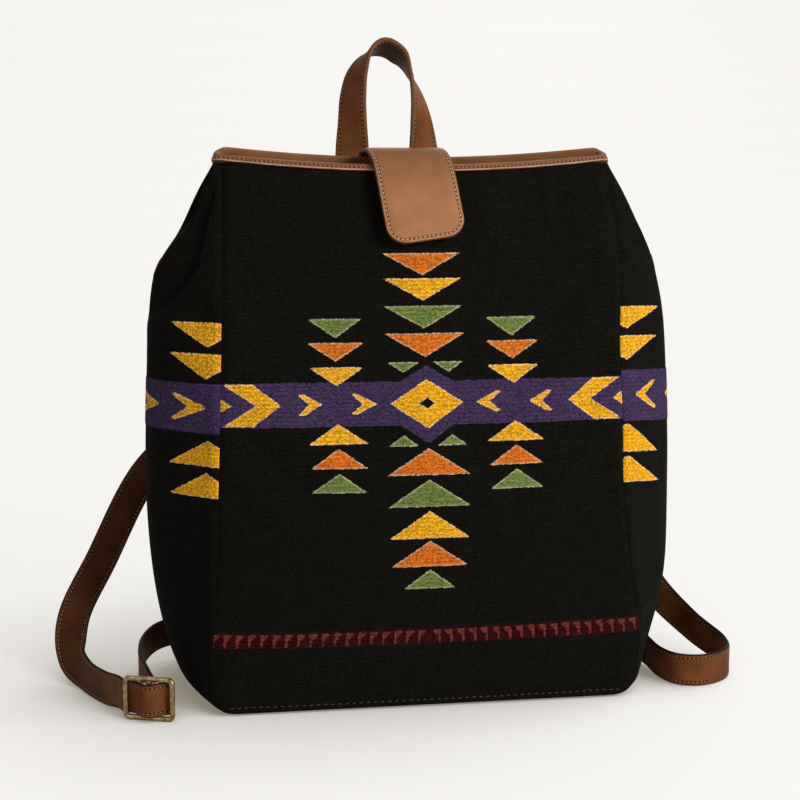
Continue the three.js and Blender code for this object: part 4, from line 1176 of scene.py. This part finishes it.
def stitches(name, tree, lines, thread, pitch=2.9, length=2.2, width=0.95):
    """Sews stitches of a thread along lines of points in millimetres."""
    starts = np.cumsum([0] + [len(line) for line in lines])
    edges = [(start + k, start + k + 1) for start, line in zip(starts, lines) for k in range(len(line) - 1)]
    mesh = bpy.data.meshes.new(name + "_lines")
    mesh.from_pydata((np.concatenate(lines) * MM).tolist(), edges, [])
    guide = in_scene(name + "_lines", mesh)
    sewing = guide.modifiers.new("stitches", "NODES")
    sewing.node_group = tree
    sizes = {"Pitch": pitch * MM, "Stitch Length": length * MM, "Thread Width": width * MM, "Thread": thread}
    for item in tree.interface.items_tree:
        if item.in_out == "INPUT" and item.name in sizes:
            sewing[item.identifier] = sizes[item.name]
    graph = bpy.context.evaluated_depsgraph_get()
    made = bpy.data.meshes.new_from_object(guide.evaluated_get(graph), depsgraph=graph)
    bpy.data.objects.remove(guide)
    return in_scene(name, made)


# Materials

def shader_group(name, inputs, outputs):
    """A group of shader nodes, whose sockets hold numbers unless they are vectors."""
    tree = bpy.data.node_groups.new(name, "ShaderNodeTree")
    for keys, inward in ((inputs, True), (outputs, False)):
        for key in keys:
            socket(tree, key, "NodeSocketVector" if key == "Vector" else "NodeSocketFloat", inward)
    return tree, node(tree, "NodeGroupInput").outputs


def maths(tree, operation, a, b=0.0):
    return output(tree, "ShaderNodeMath", {0: a, 1: b}, operation=operation)


def noise(tree, vector, scale, detail=3.0, roughness=0.55):
    inputs = {"Vector": vector, "Scale": scale, "Detail": detail, "Roughness": roughness}
    return output(tree, "ShaderNodeTexNoise", inputs)


def spread(tree, value, low, high, to_low=0.0, to_high=1.0):
    inputs = {"Value": value, "From Min": low, "From Max": high, "To Min": to_low, "To Max": to_high}
    return output(tree, "ShaderNodeMapRange", inputs)


def blended(tree, share, a, b, blend_type="MIX"):
    made = node(tree, "ShaderNodeMix", {0: share, 6: a, 7: b}, data_type="RGBA", blend_type=blend_type)
    return made.outputs[2]


def attribute(tree, name):
    return node(tree, "ShaderNodeAttribute", attribute_name=name).outputs


def flat_map(tree):
    return output(tree, "ShaderNodeUVMap", uv_map="lay")


def woven_yarn_group():
    """Loops of yarn in ribs, as in a weft-faced weave: their height, lightness and flecks, and the ribs."""
    tree, given = shader_group(
        "woven_yarn", ("Vector", "Loop Scale", "Rib Scale"), ("Height", "Tint", "Fleck", "Rib"))
    lay = given["Vector"]
    squat = output(tree, "ShaderNodeVectorMath", {0: lay, 1: (0.8, 1.15, 1.0)}, operation="MULTIPLY")
    loose = {"Vector": squat, "Scale": given["Loop Scale"], "Randomness": 0.8}
    loops = node(tree, "ShaderNodeTexVoronoi", loose, voronoi_dimensions="2D")
    fuzz = noise(tree, lay, 2600.0, 2.0)
    round_top = maths(tree, "SUBTRACT", 1.1, maths(tree, "MULTIPLY", loops.outputs["Distance"], 1.3))
    height = maths(tree, "ADD", round_top, maths(tree, "MULTIPLY", fuzz, 0.5))
    tint = output(tree, "ShaderNodeSeparateColor", {"Color": loops.outputs["Color"]})
    fleck = spread(tree, noise(tree, lay, 620.0, 3.0, 0.7), 0.42, 0.68)
    wave = node(tree, "ShaderNodeTexWave", {
        "Vector": lay, "Scale": given["Rib Scale"], "Distortion": 1.2, "Detail": 2.0, "Detail Scale": 0.6,
    }, bands_direction="Y")
    patchy = maths(tree, "MULTIPLY", spread(tree, noise(tree, lay, 14.0, 2.0), 0.35, 0.6), 0.3)
    rib = maths(tree, "MULTIPLY", maths(tree, "SUBTRACT", wave.outputs["Fac"], 0.5), patchy)
    node(tree, "NodeGroupOutput", {"Height": height, "Tint": tint, "Fleck": fleck, "Rib": rib})
    return tree


def leather_grain_group():
    """Fine creases and pores of smooth leather, and its cloudy dye."""
    tree, given = shader_group("leather_grain", ("Vector", "Pore Scale"), ("Height", "Cloud"))
    lay, scale = given["Vector"], given["Pore Scale"]
    pores = output(tree, "ShaderNodeTexVoronoi", {"Vector": lay, "Scale": scale}, feature="SMOOTH_F1")
    crease = noise(tree, lay, 420.0, 5.0, 0.6)
    height = maths(tree, "ADD", maths(tree, "MULTIPLY", pores, 0.5), crease)
    cloud = spread(tree, noise(tree, lay, 46.0, 4.0, 0.6), 0.3, 0.7)
    node(tree, "NodeGroupOutput", {"Height": height, "Cloud": cloud})
    return tree


def edge_groove_welt_group():
    """Masks by distance from a cut edge: the bare edge, the stitches' groove for a painted shade, and the
    welt between for a painted highlight.
    """
    tree, given = shader_group(
        "edge_groove_welt", ("Distance", "Edge Width", "Inset", "Break Up"), ("Edge", "Groove", "Welt"))
    distance = given["Distance"]
    reach = maths(tree, "MULTIPLY", given["Edge Width"], maths(tree, "ADD", given["Break Up"], 0.5))
    edge = spread(tree, maths(tree, "DIVIDE", distance, reach), 0.4, 1.0, 1.0, 0.0)
    aside = maths(tree, "ABSOLUTE", maths(tree, "SUBTRACT", distance, given["Inset"]))
    groove = spread(tree, aside, 0.45, 1.0, 1.0, 0.0)
    outside = spread(tree, maths(tree, "SUBTRACT", given["Inset"], distance), 0.7, 1.2)
    welt = maths(tree, "MULTIPLY", outside, spread(tree, distance, 0.25, 0.8))
    node(tree, "NodeGroupOutput", {"Edge": edge, "Groove": groove, "Welt": welt})
    return tree


def new_material(name, **constants):
    """A material, its tree and its shader, with the constants set on the shader's own sockets."""
    material = bpy.data.materials.new(name)
    material.use_nodes = True
    tree = material.node_tree
    shader = tree.nodes["Principled BSDF"]
    feed(tree, shader, {key.replace("_", " "): value for key, value in constants.items()})
    return material, tree, shader


def placed_group(tree, group, inputs):
    return node(tree, "ShaderNodeGroup", inputs, node_tree=group).outputs


def bump(tree, height, strength, distance):
    inputs = {"Height": height, "Strength": strength, "Distance": distance * MM}
    return output(tree, "ShaderNodeBump", inputs)


def woven_cloth(yarn_rows):
    """Black cloth with woven bands and figures, whose edges are ragged and mixed with paler yarns."""
    material, tree, shader = new_material(
        "woven_cloth", Roughness=0.95, Specular_IOR_Level=0.03, Sheen_Weight=0.006)
    yarns = placed_group(tree, yarn_rows, {"Vector": flat_map(tree), "Loop Scale": 760.0, "Rib Scale": 120.0})
    ragged = spread(tree, yarns["Tint"], 0.0, 1.0, -0.2, 0.2)
    colour = rgba(BLACK)
    for word in ("band", "figure"):
        depth = maths(tree, "ADD", attribute(tree, word + "_depth")["Fac"], ragged)
        yarn = attribute(tree, word + "_yarn")
        flecks = maths(tree, "MULTIPLY", yarns["Fleck"], 0.5)
        flecked = blended(tree, flecks, yarn["Color"], (0.92, 0.6, 0.42, 1.0), "MULTIPLY")
        paleness = maths(tree, "MULTIPLY", yarn["Alpha"], spread(tree, depth, 0.1, 1.3, 1.0, 0.0))
        edged = blended(tree, paleness, flecked, rgba(PALE))
        colour = blended(tree, spread(tree, depth, -0.2, 0.2), colour, edged)
    # Each loop's lightness varies at random; the low parts of the loops and the rib hollows are darkened as
    # painted shade, and the rib tops lightened as painted highlight.
    light = spread(tree, yarns["Tint"], 0.0, 1.0, 0.73, 1.33)
    deep = spread(tree, yarns["Height"], 0.4, 1.3, 0.55, 1.15)
    loop_tone = maths(tree, "MULTIPLY", light, deep)
    tone = maths(tree, "MULTIPLY", loop_tone, maths(tree, "ADD", yarns["Rib"], 1.0))
    shade = output(tree, "ShaderNodeCombineColor", {0: tone, 1: tone, 2: tone})
    feed(tree, shader, {
        "Base Color": blended(tree, 1.0, colour, shade, "MULTIPLY"),
        "Normal": bump(tree, maths(tree, "ADD", yarns["Height"], yarns["Rib"]), 0.6, 0.4),
    })
    return material


def dyed_leather(name, grain, edge, dyes, shine, raw_back_and_shade):
    """Leather with a deep and a light dye, a dye for its cut edge, a painted shade in its stitch groove, a
    painted highlight on its welt, and a raw back that is darkened, partly as painted shade.
    """
    deep, light, cut_edge, shade_dye, welt_highlight = map(rgba, dyes)
    material, tree, shader = new_material(name, Specular_IOR_Level=shine)
    skin = placed_group(tree, grain, {"Vector": flat_map(tree), "Pore Scale": 900.0})
    edge_parts = placed_group(tree, edge, {
        "Distance": attribute(tree, "from_edge")["Fac"], "Edge Width": 1.3,
        "Inset": STITCH_INSET, "Break Up": skin["Cloud"],
    })
    colour = blended(tree, skin["Cloud"], deep, light)
    # The raw back darkens towards the shade dye, partly as painted shade under the handle; a stored value
    # adds painted shade on the left strap and the tab's bend.
    flesh = maths(tree, "MULTIPLY", attribute(tree, "flesh_side")["Fac"], raw_back_and_shade)
    for share in (flesh, attribute(tree, "painted_shade")["Fac"]):
        colour = blended(tree, share, colour, shade_dye)
    # Painted highlight on the welt, painted shade in the stitch groove, and the cut edge's own dye.
    masks = (("Welt", welt_highlight, 0.6), ("Groove", shade_dye, 0.85), ("Edge", cut_edge, 1.0))
    for mask, tint, strength in masks:
        colour = blended(tree, maths(tree, "MULTIPLY", edge_parts[mask], strength), colour, tint)
    feed(tree, shader, {
        "Base Color": colour,
        "Roughness": spread(tree, skin["Height"], 0.4, 1.1, 0.58, 0.44),
        "Normal": bump(tree, skin["Height"], 0.22, 0.25),
    })
    return material


def mottled(name, dyes, grain, limits, **constants):
    """A material of two colours that mix in a grain, with its tree, its shader, the mix and the place."""
    material, tree, shader = new_material(name, **constants)
    place = node(tree, "ShaderNodeTexCoord").outputs["Object"]
    mix = spread(tree, noise(tree, place, *grain), *limits)
    feed(tree, shader, {"Base Color": blended(tree, mix, *map(rgba, dyes))})
    return material, tree, shader, mix, place


def antique_brass():
    dyes = ((98, 80, 54), (168, 146, 106))
    material, tree, shader, cloud, place = mottled(
        "antique_brass", dyes, (260.0, 5.0, 0.65), (0.35, 0.7), Metallic=1.0)
    feed(tree, shader, {
        "Roughness": spread(tree, cloud, 0.0, 1.0, 0.46, 0.3),
        "Normal": bump(tree, noise(tree, place, 900.0, 3.0), 0.12, 0.1),
    })
    return material


def fibrous(name, dyes, grain, limits, roughness, depth):
    """A dull material of two colours, raised where it is lighter."""
    material, tree, shader, fibre = mottled(name, dyes, grain, limits, Roughness=roughness)[:4]
    feed(tree, shader, {"Normal": bump(tree, fibre, 0.3, depth)})
    return material


def sewing_thread(name, *dyes):
    return fibrous(name, dyes, (2200.0, 2.0), (0.35, 0.65), 0.7, 0.1)


# Making the bag

SIDES = ((LEFT, "left"), (RIGHT, "right"))
FRONT_COLUMNS, FRONT_ROWS = 248, 320
SIDE_COLUMNS, SIDE_ROWS = 136, 312
BACK_COLUMNS, BACK_ROWS = 96, 120
STRAP_PAINTED_SHADE, STRAP_PAINTED_SHADE_REACH = 0.5, (18, 75)  # how strong the painted shade on the left strap is, by distance from its buckle
TAB_PAINTED_SHADE, TAB_PAINTED_SHADE_HEIGHTS = 0.28, (322, 356)  # and the painted shade on the tab, by height towards its bend

# Where the tab's leather stops lying on the bag and where it wholly goes with the tab, in metres
FOLD_START = (TAB_ROOT_X * MM, 0.019, 0.3555)
FOLD_END = (TAB_ROOT_X * MM, 0.0085, 0.3605)

# Each leather's deep and light dyes, its cut edge's dye, its groove's painted shade, its welt's painted
# highlight, its shine and how dark its raw back is, partly as painted shade
LEATHERS = {
    "tan_leather": (
        ((141, 93, 59), (155, 106, 70), (74, 41, 24), (50, 24, 12), (178, 131, 95)), 0.14, 0.3),
    "rim_tan_leather": (
        ((110, 69, 40), (134, 88, 54), (50, 28, 19), (44, 22, 12), (196, 150, 122)), 0.14, 0.0),
    "brown_leather": (
        ((76, 42, 21), (110, 65, 36), (40, 21, 11), (32, 16, 8), (112, 70, 40)), 0.03, 0.0),
    "handle_leather": (
        ((88, 50, 26), (118, 71, 40), (100, 67, 44), (40, 20, 10), (120, 79, 50)), 0.05, 0.8),
}

slack = settled_slack()

cloth = woven_cloth(woven_yarn_group())
grain, edge_groove_welt_masks = leather_grain_group(), edge_groove_welt_group()
tan, rim_tan, brown, handle_brown = (
    dyed_leather(name, grain, edge_groove_welt_masks, *looks) for name, looks in LEATHERS.items()
)
brass = antique_brass()
board = fibrous("fibreboard", ((48, 41, 34), (74, 64, 54)), (900.0, 5.0, 0.7), (0.3, 0.7), 0.9, 0.2)
tan_thread = sewing_thread("tan_thread", (164, 116, 74), (204, 160, 116))
rim_thread = sewing_thread("rim_thread", (118, 74, 44), (166, 118, 82))
brown_thread = sewing_thread("brown_thread", (104, 68, 41), (154, 110, 72))
hem_thread = sewing_thread("hem_thread", (36, 17, 13), (54, 28, 22))

front_cloth = cloth_panel(
    "front_cloth", FRONT, FRONT_COLUMNS, FRONT_ROWS, front_bands(), front_figures(), slack["front"])
dress(front_cloth, cloth, "cloth", "front_panel")
back_cloth = cloth_panel("back_cloth", BACK, BACK_COLUMNS, BACK_ROWS, [], [], slack["back"])
dress(back_cloth, cloth, "cloth", "back_panel")
for side, word in SIDES:
    flank = cloth_side(word + "_cloth", side, SIDE_COLUMNS, SIDE_ROWS, slack[word])
    dress(flank, cloth, "cloth", word + "_gusset")
dress(cloth_base(), cloth, "cloth", "base_panel")

rim, rim_lines = rim_leather()
dress(rim, rim_tan, "tan_leather", "rim_binding")
yoke, yoke_line = back_patch("yoke_leather", **YOKE)
dress(yoke, tan, "tan_leather", "back_yoke")
patch_lines = [yoke_line]
for side, word in SIDES:
    patch, line = back_patch(word + "_anchor_leather", **{**ANCHOR, "centre": side * ANCHOR["centre"]})
    dress(patch, tan, "tan_leather", word + "_anchor")
    patch_lines.append(line)

strap_lines = []


def sewn_band(name, frames, width, solid, material=brown, thick=STRAP_THICK):
    place, length = on_route(frames), length_of(frames)
    strap_lines.extend(sewn_faces(place, width, length, thick))
    piece = leather(name, flat_cut(width, length), place, thick)
    return dress(piece, material, "brown_leather", solid)


sewn_band("handle_leather", handle_frames(), HANDLE_WIDTH, "handle", handle_brown, HANDLE_THICK)
for side, word in SIDES:
    strap = sewn_band(word + "_strap_leather", strap_frames(side), STRAP_WIDTH, word + "_strap")
    if side == LEFT:
        # painted shade on the left strap, stronger away from its buckle
        from_buckle = np.linalg.norm(points_of(strap) - BUCKLES[side].middle, axis=1)
        set_values(strap.data, "painted_shade", STRAP_PAINTED_SHADE * eased(from_buckle, *STRAP_PAINTED_SHADE_REACH))
for side, word in SIDES:
    course = lower_strap_frames(side)
    lower = sewn_band(word + "_lower_leather", course, LOWER_STRAP_WIDTH, word + "_lower_strap")
    joined(lower, loop_ring(word + "_loop", BUCKLES[side]))
    dress(buckle_bars(word + "_buckle_bars", BUCKLES[side]), brass, "brass", word + "_buckle")

tab_route = tab_frames()
tab_place = on_route(tab_route)
tab_shape = (TAB_WIDTH + 2 * TAB_SPREAD, length_of(tab_route), 0, TAB_CORNER - TAB_SPREAD)
tab = leather("tab_leather", flat_cut(*tab_shape, 1.2), tab_place, 2 * TAB_HALF, 0.5)
# painted shade on the tab, stronger towards its bend over the rim
set_values(tab.data, "painted_shade", TAB_PAINTED_SHADE * eased(points_of(tab)[:, 2], *TAB_PAINTED_SHADE_HEIGHTS))
tab_line = laid_line(tab_place, *round_line(*tab_shape), TAB_HALF - STITCH_DIP / 2)

sewn_tree = stitch_tree()
tab_stitches = stitches("tab_stitches", sewn_tree, [tab_line], tan_thread, width=1.1)
for piece in (tab, tab_stitches):
    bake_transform(piece, "bag", "tab", FOLD_START, FOLD_END)
dress(tab, tan, "tan_leather", "closure_tab", "tab_backing", "tab_root")

hem_start = round((HEM_ROUND + 2) / BAG_HEIGHT * FRONT_ROWS) * (FRONT_COLUMNS + 1)
hem_line = points_of(front_cloth)[hem_start + 8:hem_start + FRONT_COLUMNS - 7] + vec(0, -0.15, 0)
for name, lines, thread, slot, *size in (
    ("hem_stitches", [hem_line], hem_thread, "cloth", 4.6, 2.8, 0.8),
    ("rim_stitches", rim_lines, rim_thread, "tan_leather"),
    ("patch_stitches", patch_lines, tan_thread, "tan_leather"),
    ("strap_stitches", strap_lines, brown_thread, "brown_leather", 2.9, 2.2, 0.75),
):
    sewn_piece = stitches(name, sewn_tree, lines, thread, *size)
    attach(sewn_piece, "bag")

for name in ("base_board", "snap_socket", "snap_stud", "snap_washer"):
    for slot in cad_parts[name].material_slots:
        slot.material = board if name == "base_board" else brass


# Floor, light and camera

PAPER = (243, 240, 234)
PAPER_GLOW = (255, 253, 250)
PAPER_FAR = (248, 247, 243)
PAPER_SHADE = (142, 132, 119)
GLOW_SHARE = 0.84  # how much of the paper's seen brightness is its own
SHADE_REACH = 0.28  # how far from a thing the paper is dimmed by it
SHADE_FROM = (0.55, -0.2, 0.81)  # where the light that it keeps off the paper comes from
ROOM_LIGHT, ROOM_STRENGTH = (252, 250, 246), 0.2
LIGHT_TARGET = (0, 0, 0.2)
CAMERA_PLACE = (-0.1633, -1.0241, 0.3499)
CAMERA_TARGET = (-0.00879, 0, 0.19437)
SENSOR_WIDTH = 36
FOCAL_SHARE = 1550 / 800  # the focal length, as a share of the picture's width


def seen_directly(tree):
    """1 for what the camera or a reflection sees, 0 for the light that a thing gives."""
    ray = node(tree, "ShaderNodeLightPath").outputs
    return maths(tree, "MAXIMUM", ray["Is Camera Ray"], ray["Is Glossy Ray"])


def aimed(obj, place, target):
    obj.location = place
    obj.rotation_euler = (Vector(target) - Vector(place)).to_track_quat("-Z", "Y").to_euler()
    return obj


def backdrop():
    """A pale floor that curves up into a wall."""
    bend = np.linspace(0, np.pi / 2, 25)
    radius, back = 1.2, 1.6
    y = np.concatenate([[-3.0], back + radius * np.sin(bend), [back + radius]])
    z = np.concatenate([[0.0], radius * (1 - np.cos(bend)), [4.0]])
    points = [(x, y[k], z[k]) for k in range(len(y)) for x in (-4.0, 4.0)]
    faces = [(2 * k, 2 * k + 1, 2 * k + 3, 2 * k + 2) for k in range(len(y) - 1)]
    mesh = bpy.data.meshes.new("backdrop")
    mesh.from_pydata(points, [], faces)
    mesh.shade_smooth()
    obj = in_scene("backdrop", mesh)
    material, tree, shader = new_material(
        "pale_paper", Roughness=0.9, Specular_IOR_Level=0.1, Base_Color=rgba(PAPER))
    lit_from = output(tree, "ShaderNodeCombineXYZ", dict(zip("XYZ", SHADE_FROM)))
    reach = {"Distance": SHADE_REACH, "Normal": lit_from}
    # Painted shadow: the paper's own glow dims towards PAPER_SHADE where things close by hide the way
    # SHADE_FROM points.
    open_sky = node(tree, "ShaderNodeAmbientOcclusion", reach, samples=8).outputs["AO"]
    dimmed = blended(tree, spread(tree, open_sky, 0.3, 0.92), rgba(PAPER_SHADE), rgba(PAPER_GLOW))
    glow = output(tree, "ShaderNodeEmission", {"Color": dimmed, "Strength": 1.0})
    share = maths(tree, "MULTIPLY", seen_directly(tree), GLOW_SHARE)
    mix = output(tree, "ShaderNodeMixShader", {0: share, 1: shader.outputs[0], 2: glow})
    feed(tree, tree.nodes["Material Output"], {"Surface": mix})
    mesh.materials.append(material)


def softbox(name, place, size, power):
    lamp = bpy.data.lights.new(name, "AREA")
    lamp.shape = "DISK"
    lamp.size = size
    lamp.energy = power
    aimed(in_scene(name, lamp), place, LIGHT_TARGET)


backdrop()
softbox("window_light", (1.8, -2.05, 1.25), 1.4, 89)
softbox("back_light", (0.6, 2.6, 1.4), 1.4, 12)
softbox("fill_light", (-1.9, -1.6, 1.0), 1.6, 9)

world = bpy.data.worlds.new("studio")
bpy.context.scene.world = world
world.use_nodes = True
sky = world.node_tree
room_light = sky.nodes["Background"]
feed(sky, room_light, {"Color": rgba(ROOM_LIGHT), "Strength": ROOM_STRENGTH})
pale_room = output(sky, "ShaderNodeBackground", {"Color": rgba(PAPER_FAR), "Strength": 1.0})
parts = {0: seen_directly(sky), 1: room_light.outputs[0], 2: pale_room}
feed(sky, sky.nodes["World Output"], {"Surface": output(sky, "ShaderNodeMixShader", parts)})

camera = aimed(in_scene("camera", bpy.data.cameras.new("camera")), CAMERA_PLACE, CAMERA_TARGET)
camera.data.sensor_width = SENSOR_WIDTH
camera.data.lens = SENSOR_WIDTH * FOCAL_SHARE
bpy.context.scene.camera = camera
bpy.context.scene.view_settings.view_transform = "Standard"
